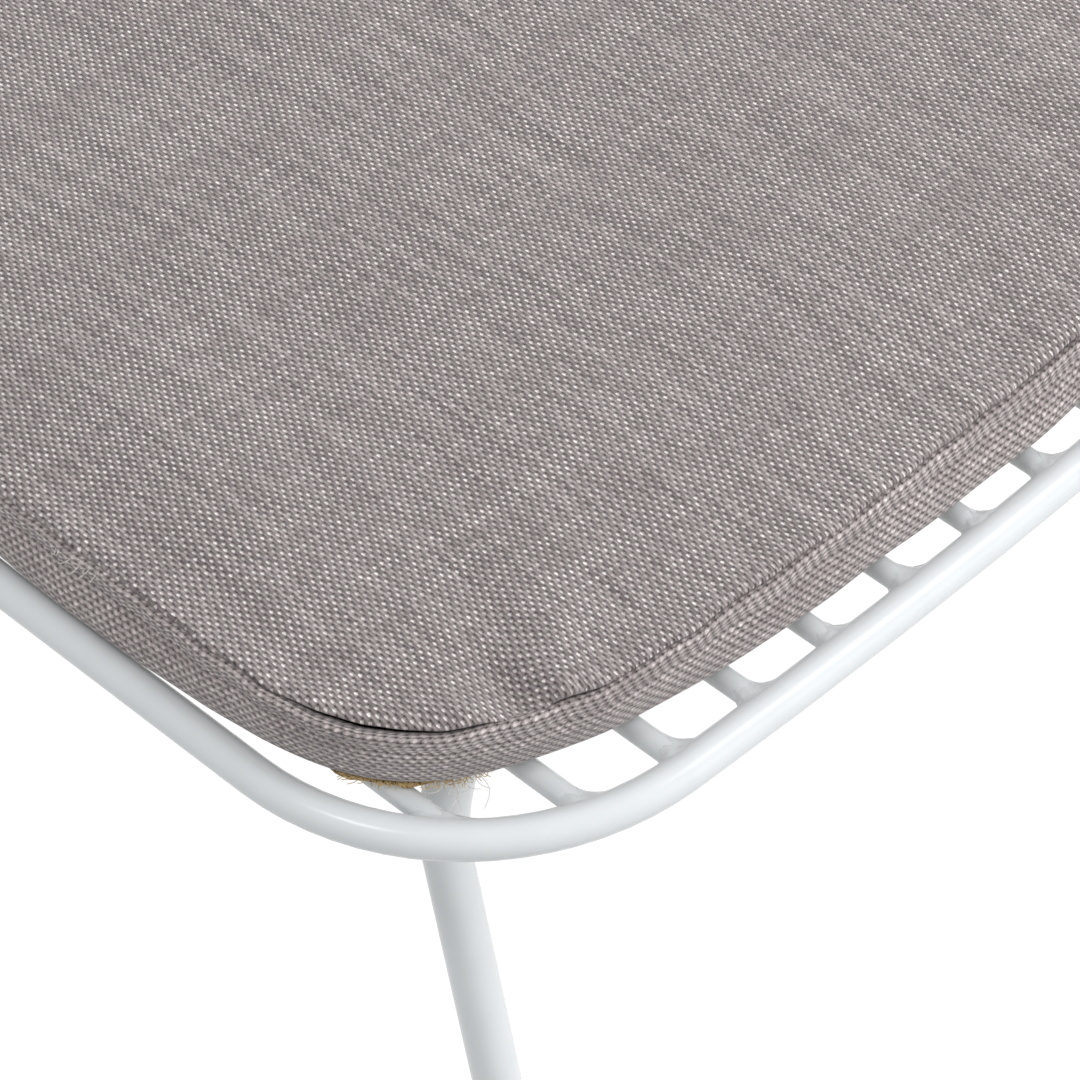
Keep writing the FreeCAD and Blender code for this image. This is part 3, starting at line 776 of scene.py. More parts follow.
@dataclass
class WeldBeads:
    """Lumpy fillets where wires meet rods, under the same coat as the steel."""
    sizes: SeatSizes
    coat: Material
    reach: float = mm(3.4)
    climb: float = mm(3.8)
    least_reach: float = mm(0.4)
    least_climb: float = mm(0.5)
    lumpiness: float = 0.75
    heavy_share: float = 0.30
    pitting: float = mm(0.35)
    around: int = 36
    steps: int = 9
    spot_rings: int = 5
    spot_around: int = 16
    spot_height: float = mm(2.2)
    points: list[Vector] = field(default_factory=list)
    faces: list[Face] = field(default_factory=list)

    def _flush(self, name: str) -> None:
        """Turns what has been gathered into one piece on the frame."""
        piece = add_piece(name, np.array([tuple(p) for p in self.points]), self.faces, self.coat)
        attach(piece, "frame")
        log.info("%s: %d faces", name, len(self.faces))
        self.points.clear()
        self.faces.clear()

    def _collar(self, joint: Vector, along: Vector, tangent: Vector, seed: float) -> None:
        """Adds the fillet between a wire's end and the rod that it is welded to.

        Args:
            joint: Where the wire's axis meets the rod's axis.
            along: The wire's direction, away from the rod.
            tangent: The rod's direction.
            seed: Makes this bead differ from the others.
        """
        first = len(self.points)
        wire_r, rim_r = self.sizes.wire_r, self.sizes.rim_r
        upper = tangent.cross(along).normalized()
        side = along.cross(upper).normalized()
        heavy = 1.6 * ((seed * 0.37) % 1.0) - 0.5
        for step in range(self.around):
            angle = 2.0 * math.pi * step / self.around
            cos, sin = math.cos(angle), math.sin(angle)
            flat = abs(cos)
            lump = 1.0 + self.lumpiness * noise.noise(Vector((cos, sin, seed)) * 2.1)
            bias = 0.9 + self.heavy_share * math.cos(angle - heavy)
            reach = max(self.reach * lump * bias * (0.35 + 0.65 * flat), self.least_reach)
            climb = max(self.climb * lump * bias * (0.55 + 0.45 * flat), self.least_climb)
            near = side * (cos * wire_r) + upper * (sin * wire_r)
            height = max(-0.9, min(0.9, sin * (wire_r + reach) / rim_r)) * rim_r
            away = side * (cos * (wire_r + reach)) + upper * height
            low = self._meets_rod(along, tangent, near)
            far = self._meets_rod(along, tangent, away)
            outward = near.normalized()
            wire_end = joint + along * (low + climb) + near * 0.98
            rod_end = joint + along * (far - mm(0.12)) + away
            corner = joint + along * (low + mm(0.15)) + near + outward * mm(0.2)
            for part in range(self.steps):
                share = part / (self.steps - 1)
                spot = (wire_end * (1 - share) ** 2 + corner * (2 * share * (1 - share))
                        + rod_end * share ** 2)
                pit = noise.noise(spot * 900.0 + Vector((seed, 0.0, 0.0)))
                spot += outward * (self.pitting * pit * math.sin(math.pi * share))
                self.points.append(spot)
            self.points.append(joint + along * (far - mm(1.2)) + away * 0.9)
            self.points.append(joint + along * (low + climb * 0.5) + near * 0.5)
        for face in grid_faces(self.around, self.steps + 2, first, wrapped=True):
            self.faces.append((face[0], face[3], face[2], face[1]))

    def _meets_rod(self, along: Vector, tangent: Vector, base: Vector) -> float:
        """How far along the wire a line beside its axis leaves the rod's surface.

        Args:
            along: The wire's direction.
            tangent: The rod's direction.
            base: From the wire's axis to the line.

        Returns:
            The distance along the wire.
        """
        base = base - tangent * base.dot(tangent)
        step = along - tangent * along.dot(tangent)
        a = step.length_squared
        b = 2.0 * base.dot(step)
        c = base.length_squared - self.sizes.rim_r ** 2
        inside = max(b * b - 4.0 * a * c, 0.0)
        return (-b + math.sqrt(inside)) / (2.0 * a)

    def _spot(self, first_axis: Vector, first_r: float, second_axis: Vector, second_r: float,
              middle: Vector, up: Vector, seed: float) -> None:
        """Adds the squeezed-out metal where two crossing rods are spot welded.

        Args:
            first_axis: Direction of the upper rod.
            first_r: Its radius.
            second_axis: Direction of the lower rod.
            second_r: Its radius.
            middle: The point where they touch.
            up: From the lower rod to the upper.
            seed: Makes this weld differ from the others.
        """
        self.faces.extend(tube_faces(self.spot_rings, self.spot_around, len(self.points)))
        for level in np.linspace(-1.0, 1.0, self.spot_rings).tolist():
            flare = 0.98 * (0.55 + 0.45 * abs(level) ** 1.5)
            for step in range(self.spot_around):
                angle = 2.0 * math.pi * step / self.spot_around
                cos, sin = math.cos(angle), math.sin(angle)
                lump = 1.0 + 0.3 * noise.noise(Vector((cos, sin + seed, seed)) * 1.3)
                self.points.append(middle + second_axis * (cos * first_r * flare * lump)
                                   + first_axis * (sin * second_r * flare * lump)
                                   + up * (level * self.spot_height / 2.0))

    @staticmethod
    def _tangent(axis: Callable[[float], float], x: float, ahead: Vector) -> Vector:
        """Direction of a rod at x, whose axis rises in the direction ahead."""
        nudge = mm(0.01)
        slope = (axis(x + nudge) - axis(x - nudge)) / (2.0 * nudge)
        return (Vector((1.0, 0.0, 0.0)) + ahead * slope).normalized()

    def build(self) -> None:
        """Makes the beads of the front edge, the top edge and the crossings."""
        sizes = self.sizes
        along = Vector((0.0, 1.0, 0.0))
        for number, x in enumerate(sizes.wire_places()):
            self._collar(Vector((x, sizes.front_axis(x), sizes.seat_z)), along,
                         self._tangent(sizes.front_axis, x, along), 3.7 + number * 1.31)
        self._flush("front_weld_beads")
        up_lean = Vector((0.0, math.sin(sizes.lean), math.cos(sizes.lean)))
        for number, x in enumerate(sizes.wire_places()):
            self._collar(sizes.back_point(x, sizes.top_axis(x)), -up_lean,
                         self._tangent(sizes.top_axis, x, up_lean), 51.2 + number * 1.73)
        self._flush("top_weld_beads")
        self._crossings(along, up_lean)

    def _crossings(self, along: Vector, up_lean: Vector) -> None:
        """Adds the spot welds under the seat and behind the back.

        Args:
            along: Direction of the wires under the seat.
            up_lean: Direction up the back.
        """
        sizes = self.sizes
        across = Vector((1.0, 0.0, 0.0))
        up = Vector((0.0, 0.0, 1.0))
        step = (sizes.rear_bow_set - sizes.front_bow_set) / 3.0
        touch_z = sizes.seat_z - sizes.wire_r
        half_run = sizes.half_width - sizes.leg_inset - sizes.leg_bend
        for x in sizes.wire_places():
            for place in range(4):
                y = sizes.seat_front + sizes.front_bow_set + place * step
                on_leg = place in (0, 3)
                if on_leg and abs(x) > half_run:
                    continue
                lower = sizes.leg_r if on_leg else sizes.wire_r
                self._spot(along, sizes.wire_r, across, lower, Vector((x, y, touch_z)), up,
                           x * 37.0 + place * 5.3)
        self._flush("seat_spot_welds")
        behind = Vector((0.0, math.cos(sizes.lean), -math.sin(sizes.lean)))
        for x in sizes.wire_places():
            for place in sizes.back_cross_places:
                if sizes.top_axis(x) < place + sizes.rim_r:
                    continue
                middle = sizes.back_point(x, place) + behind * sizes.wire_r
                self._spot(up_lean, sizes.wire_r, across, sizes.wire_r, middle, -behind,
                           x * 29.0 + place * 71.0)
        self._flush("back_spot_welds")


@dataclass
class SteelFrame:
    """The rods and wires as packed, with their coat, their weld beads and the foot glides."""
    sizes: SeatSizes

    def build(self) -> None:
        """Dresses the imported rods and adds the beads."""
        coat = PowderCoat().build()
        plastic = GlidePlastic().build()
        for name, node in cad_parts.items():
            if name.startswith("pad_"):
                continue
            node.data.materials.clear()
            node.data.materials.append(plastic if name.endswith("_glide") else coat)
        log.info("steel frame: %d packed pieces dressed", len(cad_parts))
        WeldBeads(self.sizes, coat).build()


# Seat pad


@dataclass
class PadOutline:
    """The pad's outline, which follows the seat rod."""
    sizes: SeatSizes
    side_gap: float = mm(4.6)
    front_gap: float = mm(9.8)
    rear_reach: float = mm(3.8)
    corner: float = mm(54.0)
    samples: int = 960
    arc_steps: int = 200

    def __post_init__(self) -> None:
        """Works out points, outward directions and lengths round the outline."""
        half = self.sizes.half_width - self.side_gap
        bow = self.sizes.bow - self.front_gap
        front = self.sizes.seat_front + self.front_gap
        rear = self.sizes.bend_y + self.rear_reach
        centre_x = half - self.corner
        bow_y = front + bow
        centre_y = bow_y - math.sqrt((bow - self.corner) ** 2 - centre_x ** 2)
        touch = math.atan2(bow_y - centre_y, centre_x)
        rear_y = rear - self.corner
        quarter = math.pi / 2
        arcs = [
            ((0.0, rear), (-centre_x, rear), None),
            ((-centre_x, rear_y), self.corner, (quarter, 2 * quarter)),
            ((-half, rear_y), (-half, centre_y), None),
            ((-centre_x, centre_y), self.corner, (math.pi, math.pi + touch)),
            ((0.0, bow_y), bow, (math.pi + touch, 2 * math.pi - touch)),
            ((centre_x, centre_y), self.corner, (2 * math.pi - touch, 2 * math.pi)),
            ((half, centre_y), (half, rear_y), None),
            ((centre_x, rear_y), self.corner, (0.0, quarter)),
            ((centre_x, rear), (0.0, rear), None),
        ]
        points: list[tuple[float, float, float, float]] = []
        for start, second, turn in arcs:
            for share in np.linspace(0.0, 1.0, self.arc_steps, endpoint=False):
                if turn is None:
                    dx, dy = second[0] - start[0], second[1] - start[1]
                    length = math.hypot(dx, dy)
                    points.append((start[0] + dx * share, start[1] + dy * share,
                                   dy / length, -dx / length))
                else:
                    angle = turn[0] + (turn[1] - turn[0]) * share
                    cos, sin = math.cos(angle), math.sin(angle)
                    points.append((start[0] + second * cos, start[1] + second * sin, cos, sin))
        self._resample(np.array(points))
        self.middle = np.array([0.0, (front + rear) / 2])

    def _resample(self, dense: np.ndarray) -> None:
        """Spaces the outline's points evenly.

        Args:
            dense: Points with outward directions, unevenly spaced.
        """
        closed = np.vstack([dense, dense[:1]])
        steps = np.hypot(*np.diff(closed[:, :2], axis=0).T)
        run = np.concatenate([[0.0], np.cumsum(steps)])
        self.length = float(run[-1])
        self.places = np.linspace(0.0, self.length, self.samples, endpoint=False)
        columns = [np.interp(self.places, run, closed[:, index]) for index in range(4)]
        self.points = np.stack(columns[:2], axis=1)
        outward = np.stack(columns[2:], axis=1)
        self.outward = outward / np.linalg.norm(outward, axis=1)[:, None]

    def row(self, shift: np.ndarray | float, z: np.ndarray | float) -> np.ndarray:
        """The outline's points moved outward by shift, at height z."""
        return self.raised(self.points + self.outward * np.reshape(shift, (-1, 1)), z)

    @staticmethod
    def raised(plan: np.ndarray, z: np.ndarray | float) -> np.ndarray:
        """Plan points put at height z."""
        return np.column_stack([plan, np.broadcast_to(z, len(plan))])

    def drawn_in(self, plan: np.ndarray, share: float) -> np.ndarray:
        """Plan points drawn toward the middle: 1 leaves them, 0 takes them there."""
        return self.middle + (plan[:, :2] - self.middle) * share

    def column_at(self, place: float) -> int:
        """Number of the outline's point at a length round it."""
        return int(place / self.length * self.samples) % self.samples

    def nearest(self, x: float, y: float) -> float:
        """Length round the outline at the point nearest to x, y."""
        gaps = np.hypot(self.points[:, 0] - x, self.points[:, 1] - y)
        return float(self.places[int(np.argmin(gaps))])

    def drawn(self, stops: Sequence[tuple[float, float, float]], soften: int = 4) -> np.ndarray:
        """A value that changes smoothly round the outline.

        Args:
            stops: X, y and value of each place where it is known.
            soften: How many times it is smoothed.

        Returns:
            Its value at each point of the outline.
        """
        known = sorted((self.nearest(x, y), value) for x, y, value in stops)
        places = [place for place, _ in known]
        values = np.interp(self.places, places, [value for _, value in known], period=self.length)
        for _ in range(soften):
            values = (np.roll(values, 3) + values + np.roll(values, -3)) / 3.0
        return values

    def wander(self, per_metre: float, seed: float) -> np.ndarray:
        """Soft noise round the outline, about -1 to 1."""
        turn = self.places / self.length * 2.0 * math.pi
        reach = self.length / (2.0 * math.pi) * per_metre
        return np.array([2.0 * noise.noise(Vector((math.cos(a) * reach, math.sin(a) * reach, seed)))
                         for a in turn])


@dataclass(frozen=True)
class Furrow:
    """A shallow fold in the cloth that starts at the seam and fades into the pad."""
    start: tuple[float, float]
    end: tuple[float, float]
    depth: float
    width: float

    def drop(self, plan: np.ndarray) -> np.ndarray:
        """How far the cloth sinks, with a low ridge at both sides.

        Args:
            plan: X and y of the points.

        Returns:
            The drop at each point.
        """
        start = np.array(self.start)
        axis = np.array(self.end) - start
        length = float(np.hypot(*axis))
        axis = axis / length
        from_start = plan - start
        run = from_start @ axis / length
        across = from_start @ np.array([-axis[1], axis[0]])
        fade = np.where(run < 0.0, np.exp(-(run * length / self.width) ** 2),
                        np.clip(1.0 - run, 0.0, 1.0) ** 1.5)
        spread = self.width * (1.0 + 1.2 * np.clip(run, 0.0, 1.0))
        shape = np.exp(-(across / spread) ** 2)
        ridge = np.exp(-((np.abs(across) - 1.9 * spread) / spread) ** 2)
        return self.depth * fade * (shape - 0.45 * ridge)


@dataclass
class ClothSettling:
    """Lets the cover swell over the foam and pucker along its seam, as sewn cloth does."""
    voxel: float = mm(5.0)
    pressure: float = 4.0
    frames: int = 20
    fullness: float = 0.035
    bending: float = 1.5
    quality: int = 6
    cap: float = mm(2.6)
    margin: float = mm(2.0)

    def run(self, points: np.ndarray, faces: Sequence[Sequence[int]], held_below: float,
            fullness_at: Sequence[float]) -> tuple[np.ndarray, np.ndarray]:
        """Runs the simulation on a closed form.

        Args:
            points: The closed form's points.
            faces: Its faces.
            held_below: Points lower than this are held.
            fullness_at: Distances from the middle where the spare cloth starts and is full.

        Returns:
            The free points at rest, and how far each has moved.
        """
        blank = bpy.data.materials.new("blank")
        form = add_piece("pad_form", points, faces, blank)
        remesh = form.modifiers.new("even", "REMESH")
        remesh.mode = "VOXEL"
        remesh.voxel_size = self.voxel
        seen = bpy.context.evaluated_depsgraph_get()
        even = bpy.data.meshes.new_from_object(form.evaluated_get(seen))
        cover = bpy.data.objects.new("pad_cover", even)
        bpy.context.scene.collection.objects.link(cover)
        rest = self._points(even)
        held = cover.vertex_groups.new(name="held")
        held.add(np.flatnonzero(rest[:, 2] < held_below).tolist(), 1.0, "ADD")
        spare = cover.vertex_groups.new(name="spare")
        away = np.abs(rest[:, :2] - rest[:, :2].mean(axis=0)).max(axis=1)
        weights = np.interp(away, fullness_at, (0.0, 1.0))
        for number in np.flatnonzero(weights > 0.0).tolist():
            spare.add([number], float(weights[number]), "ADD")
        cloth = cover.modifiers.new("settle", "CLOTH")
        settings = cloth.settings
        settings.effector_weights.gravity = 0.0
        settings.use_pressure = True
        settings.uniform_pressure_force = self.pressure
        settings.vertex_group_mass = "held"
        settings.vertex_group_shrink = "spare"
        settings.shrink_min = 0.0
        settings.shrink_max = -self.fullness
        settings.quality = self.quality
        settings.bending_stiffness = self.bending
        scene = bpy.context.scene
        for number in range(1, self.frames + 1):
            scene.frame_set(number)
        seen = bpy.context.evaluated_depsgraph_get()
        settled = bpy.data.meshes.new_from_object(cover.evaluated_get(seen))
        moves = self._points(settled) - rest
        scene.frame_set(1)
        for thing in (form, cover):
            mesh = thing.data
            bpy.data.objects.remove(thing)
            bpy.data.meshes.remove(mesh)
        bpy.data.meshes.remove(settled)
        bpy.data.materials.remove(blank)
        size = np.linalg.norm(moves, axis=1)[:, None] + 1e-9
        log.info("cloth settled: %d points, largest move %.1f mm", len(rest), size.max() / mm(1))
        capped = moves / size * (self.cap * np.tanh(size / self.cap))
        free = rest[:, 2] >= held_below - self.margin
        return rest[free], capped[free]

    @staticmethod
    def _points(mesh: bpy.types.Mesh) -> np.ndarray:
        """The mesh's points."""
        flat = np.zeros(len(mesh.vertices) * 3, dtype=np.float64)
        mesh.vertices.foreach_get("co", flat)
        return flat.reshape(-1, 3)

    @staticmethod
    def carried(points: np.ndarray, rest: np.ndarray, moves: np.ndarray,
                neighbours: int = 8, fade: float = mm(4.0)) -> np.ndarray:
        """The moves of other points, from those of their nearest neighbours.

        Args:
            points: The points to move.
            rest: The simulated points at rest.
            moves: How far those have moved.
            neighbours: How many of them count for a point.
            fade: Distance at which a neighbour counts for about a third.

        Returns:
            A move for each point.
        """
        tree = kdtree.KDTree(len(rest))
        for number, point in enumerate(rest):
            tree.insert(point, number)
        tree.balance()
        result = np.zeros_like(points)
        for number, point in enumerate(points):
            found = tree.find_n(point, neighbours)
            weights = np.array([math.exp(-(gap / fade) ** 2) + 1e-9 for _, _, gap in found])
            near = moves[[index for _, index, _ in found]]
            result[number] = weights @ near / weights.sum()
        return result


@dataclass
class SeatPad:
    """The loose pad: a crowned top panel, a side band with its seam, and a tan backing."""
    sizes: SeatSizes
    foot_z: float = 0.4488
    seam_rise: float = mm(17.0)
    crown_rise: float = mm(23.0)
    crown_rad: float = 8.0
    furrow_seed: int = 5
    furrow_steps: tuple[float, float] = (mm(22.0), mm(50.0))
    furrow_reach: tuple[float, float] = (mm(16.0), mm(34.0))
    furrow_depth: tuple[float, float] = (0.4, 1.2)
    furrow_width: tuple[float, float] = (2.6, 5.0)
    pucker_room: float = mm(50.0)
    fullness_at: tuple[float, float] = (mm(100.0), mm(190.0))
    held_rows: int = 9
    wave_drop: float = mm(1.1)

    def __post_init__(self) -> None:
        """Sets out the outline, its irregularities and the finishes."""
        self.outline = PadOutline(self.sizes)
        outline = self.outline
        front_left = [(-0.2104, -0.165, 0.0), (-0.2098, -0.179, -0.1), (-0.2070, -0.190, -0.5),
                      (-0.1994, -0.201, 0.0), (-0.190, -0.209, -1.7), (-0.182, -0.214, -2.6),
                      (-0.174, -0.218, -2.8), (-0.160, -0.222, -1.2), (-0.144, -0.224, -0.3),
                      (-0.111, -0.2265, 0.1)]
        milder = [(-x, y, value * 0.6) for x, y, value in front_left]
        rear = [(-0.2104, 0.09, 0.0), (-0.193, 0.127, -1.2), (-0.15, 0.1436, -0.4),
                (0.15, 0.1436, -0.3), (0.195, 0.127, -1.4), (0.2104, 0.09, 0.0)]
        self.seam_shift = mm(1.0) * (
            outline.drawn(front_left + milder + rear) + 0.35 * outline.wander(120.0, 3.0))
        foot = [(-0.2104, -0.05, 2.7), (-0.2104, -0.099, 2.7), (-0.2104, -0.143, 3.2),
                (-0.2104, -0.154, 2.2), (-0.2101, -0.173, -0.5), (-0.207, -0.187, -1.2),
                (-0.1994, -0.201, -1.8), (-0.190, -0.209, -3.4), (-0.174, -0.218, -5.0),
                (-0.150, -0.223, -1.2), (-0.131, -0.225, 0.7), (-0.111, -0.2265, 1.4),
                (-0.082, -0.228, 2.0), (-0.045, -0.230, 2.3), (0.0, -0.2303, 2.2),
                (0.09, -0.228, 2.0), (0.15, -0.223, 0.4), (0.19, -0.209, -2.6),
                (0.2104, -0.165, 0.6), (0.2104, -0.10, 2.2), (0.2104, 0.0, 2.6),
                (0.2104, 0.09, 1.2), (0.195, 0.127, -1.6), (0.15, 0.1436, 0.6),
                (0.0, 0.1436, 1.4), (-0.15, 0.1436, 0.4), (-0.193, 0.127, -1.8),
                (-0.2104, 0.09, 1.4), (-0.2104, 0.0, 2.6)]
        self.foot_shift = mm(1.0) * (
            outline.drawn(foot) + 0.3 * outline.wander(45.0, 9.0))
        crease = [(-0.2104, -0.166, 0.0), (-0.2098, -0.177, 0.6), (-0.2075, -0.188, 1.0),
                  (-0.203, -0.196, 1.0), (-0.197, -0.203, 0.55), (-0.190, -0.2095, 0.0),
                  (-0.174, -0.218, 0.05), (-0.1, -0.2267, 0.0), (0.17, -0.219, 0.1),
                  (0.198, -0.202, 0.7), (0.209, -0.18, 0.2), (0.2104, 0.05, 0.0),
                  (0.2, 0.12, 0.5), (0.15, 0.1436, 0.0), (-0.15, 0.1436, 0.0),
                  (-0.2, 0.12, 0.6), (-0.2104, 0.05, 0.0)]
        self.crease = outline.drawn(crease, soften=2)
        self.furrows = self._furrows()
        # Each weave's last colour is the painted shade in its gaps. The top and the band are one
        # cloth: their thread colours differ to paint how light falls on the flat top and on the
        # upright band, and the band's cells carry heavier painted shade.
        self.woven = WovenCloth(
            "mauve_grey_weave", linear(134, 125, 125), linear(182, 173, 172),
            linear(196, 188, 186), linear(242, 237, 234), linear(58, 49, 49)).build()
        self.banded = WovenCloth(
            "mauve_grey_band_weave", linear(174, 163, 162), linear(224, 214, 212),
            linear(150, 141, 140), linear(204, 196, 193), linear(54, 45, 45),
            warp_pitch=mm(1.15), weft_pitch=mm(1.05), edge_shade=0.6,
            lit_height=1.3).build()
        self.tan = WovenCloth(
            "tan_backing_weave", linear(176, 146, 96), linear(205, 176, 124),
            linear(190, 160, 108), linear(226, 200, 152), linear(110, 84, 48),
            warp_pitch=mm(0.7), weft_pitch=mm(0.8)).build()

    def _furrows(self) -> list[Furrow]:
        """The photographed pucker, and shallow folds like it along the whole seam."""
        found = [
            Furrow((-0.1825, -0.2125), (-0.1640, -0.164), mm(3.5), mm(4.8)),
            Furrow((-0.1740, -0.2175), (-0.1580, -0.188), mm(-1.1), mm(4.4)),
            Furrow((-0.2105, -0.176), (-0.1900, -0.166), mm(0.9), mm(3.5)),
        ]
        chance = random.Random(self.furrow_seed)
        outline = self.outline
        place = 0.02
        while place < outline.length:
            column = outline.column_at(place)
            x, y = outline.points[column]
            inward = -outline.outward[column]
            side = np.array([-inward[1], inward[0]]) * chance.uniform(-0.7, 0.7)
            reach = chance.uniform(*self.furrow_reach)
            end = outline.points[column] + (inward + side) * reach
            if math.hypot(x + 0.19, y + 0.2) > self.pucker_room:
                found.append(Furrow((x, y), tuple(end), mm(chance.uniform(*self.furrow_depth)),
                                    mm(chance.uniform(*self.furrow_width))))
            place += chance.uniform(*self.furrow_steps)
        return found

    def crown(self, plan: np.ndarray) -> np.ndarray:
        """Height of the crown above the pad's foot at plan points, before the cloth settles."""
        away = ((plan - self.outline.middle) ** 2).sum(axis=1)
        return self.crown_rise - away / (2.0 * self.crown_rad)

    def build(self) -> None:
        """Builds the pad's pieces."""
        top = self._top_panel()
        band = self._side_band()
        backing = self._backing()
        for piece, nodes, slot in (
                (top, ("pad_top_panel", "pad_foam"), Slot.CLOTH),
                (band, ("pad_side_band",), Slot.CLOTH),
                (backing, ("pad_underside",), Slot.BACKING)):
            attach(piece, "seat_pad")
            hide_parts(*nodes)
            log.info("%s: %d faces", piece.name, len(piece.data.polygons))
        LooseThreads(self).build()

    def _settled(self, points: np.ndarray) -> np.ndarray:
        """Where the top panel's points end once the cloth has settled.

        Args:
            points: The panel's points at rest.

        Returns:
            A move for each point.
        """
        outline = self.outline
        coarse = slice(0, outline.samples, 4)
        plan = outline.points[coarse]
        out = outline.outward[coarse]
        profile = ((-3.0, 0.0), (0.0, 3.0), (0.0, 10.0), (-0.6, 17.0), (-1.6, 18.4), (-5.0, 19.6))
        rows = [outline.raised(plan + out * mm(offset), self.foot_z + mm(height))
                for offset, height in profile]
        rows += self._crown_rows(rows[-1], 24)
        rest, moves = ClothSettling().run(
            np.vstack(rows), tube_faces(len(rows), len(plan)),
            self.foot_z + self.seam_rise + mm(0.8), self.fullness_at)
        return ClothSettling.carried(points, rest, moves)

    def _crown_rows(self, rim: np.ndarray, count: int) -> list[np.ndarray]:
        """Rows of points on the crown, from inside a rim to near the middle."""
        shares = np.linspace(1.0, 0.0, count)[1:-1]
        plans = [self.outline.drawn_in(rim, share) for share in shares]
        return [self.outline.raised(plan, self.foot_z + self.crown(plan)) for plan in plans]

    def _top_panel(self) -> bpy.types.Object:
        """The top panel, from the seam up over the rolled edge to the crown."""
        outline = self.outline
        edge = [(-2.0, -0.3, 1.0), (-1.3, 0.02, 1.0), (-0.9, 0.2, 1.0), (-0.76, 0.38, 0.95),
                (-1.05, 0.55, 0.9), (-2.0, 0.69, 0.85), (-2.8, 0.79, 0.78), (-3.8, 0.86, 0.7),
                (-5.2, 0.915, 0.58), (-6.8, 0.95, 0.45), (-8.6, 0.972, 0.33), (-10.6, 0.985, 0.22),
                (-13.0, 0.995, 0.13), (-16.0, 1.0, 0.06), (-19.5, 1.0, 0.02), (-23.5, 1.0, 0.0),
                (-28.0, 1.0, 0.0), (-33.0, 1.0, 0.0), (-38.5, 1.0, 0.0)]
        tuck = [(-1.2, -1.0), (-1.4, -0.8), (-1.4, -0.6), (-1.3, -0.45), (-1.1, -0.3),
                (-0.9, -0.1), (-0.6, 0.1), (-0.3, 0.4), (-0.1, 0.3), (0.0, 0.15)]
        rows = []
        for number, (offset, share, follow) in enumerate(edge):
            inward, lift = tuck[number] if number < len(tuck) else (0.0, 0.0)
            shift = self.seam_shift * follow + mm(offset) + self.crease * mm(inward)
            lift = self.crease * mm(lift)
            row = outline.row(shift, 0.0)
            rise = (self.crown(row[:, :2]) - self.seam_rise) * share
            row[:, 2] = self.foot_z + (self.seam_rise + rise + lift)
            rows.append(row)
        rows += self._crown_rows(rows[-1], 64)
        points = np.vstack(rows + [[[*outline.middle, self.foot_z + self.crown_rise]]])
        flat = points[:, :2].copy()
        columns = outline.samples
        faces = grid_faces(len(rows), columns)
        last = (len(rows) - 1) * columns
        for column in range(columns):
            faces.append((last + column, last + (column + 1) % columns, len(points) - 1))
        faces = [face[::-1] for face in faces]
        row_of = np.arange(len(points)) // columns
        seam_hold = np.where(row_of < self.held_rows, row_of / self.held_rows, 1.0)
        points = points + self._settled(points) * seam_hold[:, None]
        points[:, 2] -= self._folds(flat) * np.clip(seam_hold + 0.08, 0.0, 1.0)
        piece = add_piece("pad_top", points, faces, self.woven)
        write_cloth_places(piece.data, flat)
        return piece

    def _folds(self, plan: np.ndarray) -> np.ndarray:
        """How far the shallow folds and the pad's slow waves sink the cloth.

        Args:
            plan: X and y of the points.

        Returns:
            The drop at each point.
        """
        drop = np.zeros(len(plan))
        for furrow in self.furrows:
            drop += furrow.drop(plan)
        slow = np.array([noise.noise(Vector((x * 22.0, y * 17.0, 4.0))) for x, y in plan])
        return drop + slow * self.wave_drop

    def _side_band(self) -> bpy.types.Object:
        """The side band, with the flat fold of seam cloth that lies just under the seam."""
        outline = self.outline
        profile = [(-3.2, 15.4), (-2.2, 16.4), (-1.4, 17.0), (-0.6, 17.25), (0.0, 17.1),
                   (0.4, 16.6), (0.5, 15.8), (0.5, 14.8), (0.45, 13.8), (0.3, 13.1), (-0.05, 12.75),
                   (-0.05, 12.3), (0.2, 11.6), (0.45, 10.4), (0.6, 9.0), (0.65, 7.4), (0.6, 5.8),
                   (0.3, 4.0), (-0.1, 2.4), (-0.8, 1.2), (-1.8, 0.6), (-3.2, 0.45), (-3.6, 1.6),
                   (-3.0, 3.4), (-2.4, 7.0), (-2.4, 12.0), (-3.2, 14.4)]
        fold_ends = 10
        fold_shear = 0.5
        groove = {26: 0.6, 0: 0.7, 1: 0.8, 2: 0.7, 3: 0.3}
        lumps = outline.wander(60.0, 21.0)
        rows = []
        run = [0.0]
        for number, (offset, height) in enumerate(profile):
            low = min(max((13.0 - height) / 10.0, 0.0), 1.0)
            low = low * low * (3.0 - 2.0 * low)
            shift = (self.seam_shift * (1.0 - low) + self.foot_shift * low + mm(offset)
                     + mm(0.3) * lumps * math.sin(math.pi * height / 17.0))
            if 2 <= number <= 7:
                shift = shift + self.crease * mm(0.5)
            sink = self.crease * mm(groove.get(number, 0.0))
            rows.append(outline.row(shift, self.foot_z + mm(height) - sink))
            if number:
                before = profile[number - 1]
                run.append(run[-1] + mm(math.hypot(offset - before[0], height - before[1])))
        run.append(run[-1] + mm(1.0))
        places = []
        step = outline.length / outline.samples
        for row, (low, high) in enumerate(zip(run, run[1:])):
            shear = fold_shear if row < fold_ends else 0.0
            for column in range(outline.samples):
                start, stop = column * step, (column + 1) * step
                places.extend(((low, start + low * shear), (low, stop + low * shear),
                               (high, stop + high * shear), (high, start + high * shear)))
        faces = grid_faces(len(rows), outline.samples, wrapped=True)
        piece = add_piece("pad_band", np.vstack(rows), faces, self.banded)
        write_cloth_places(piece.data, np.array(places))
        return piece

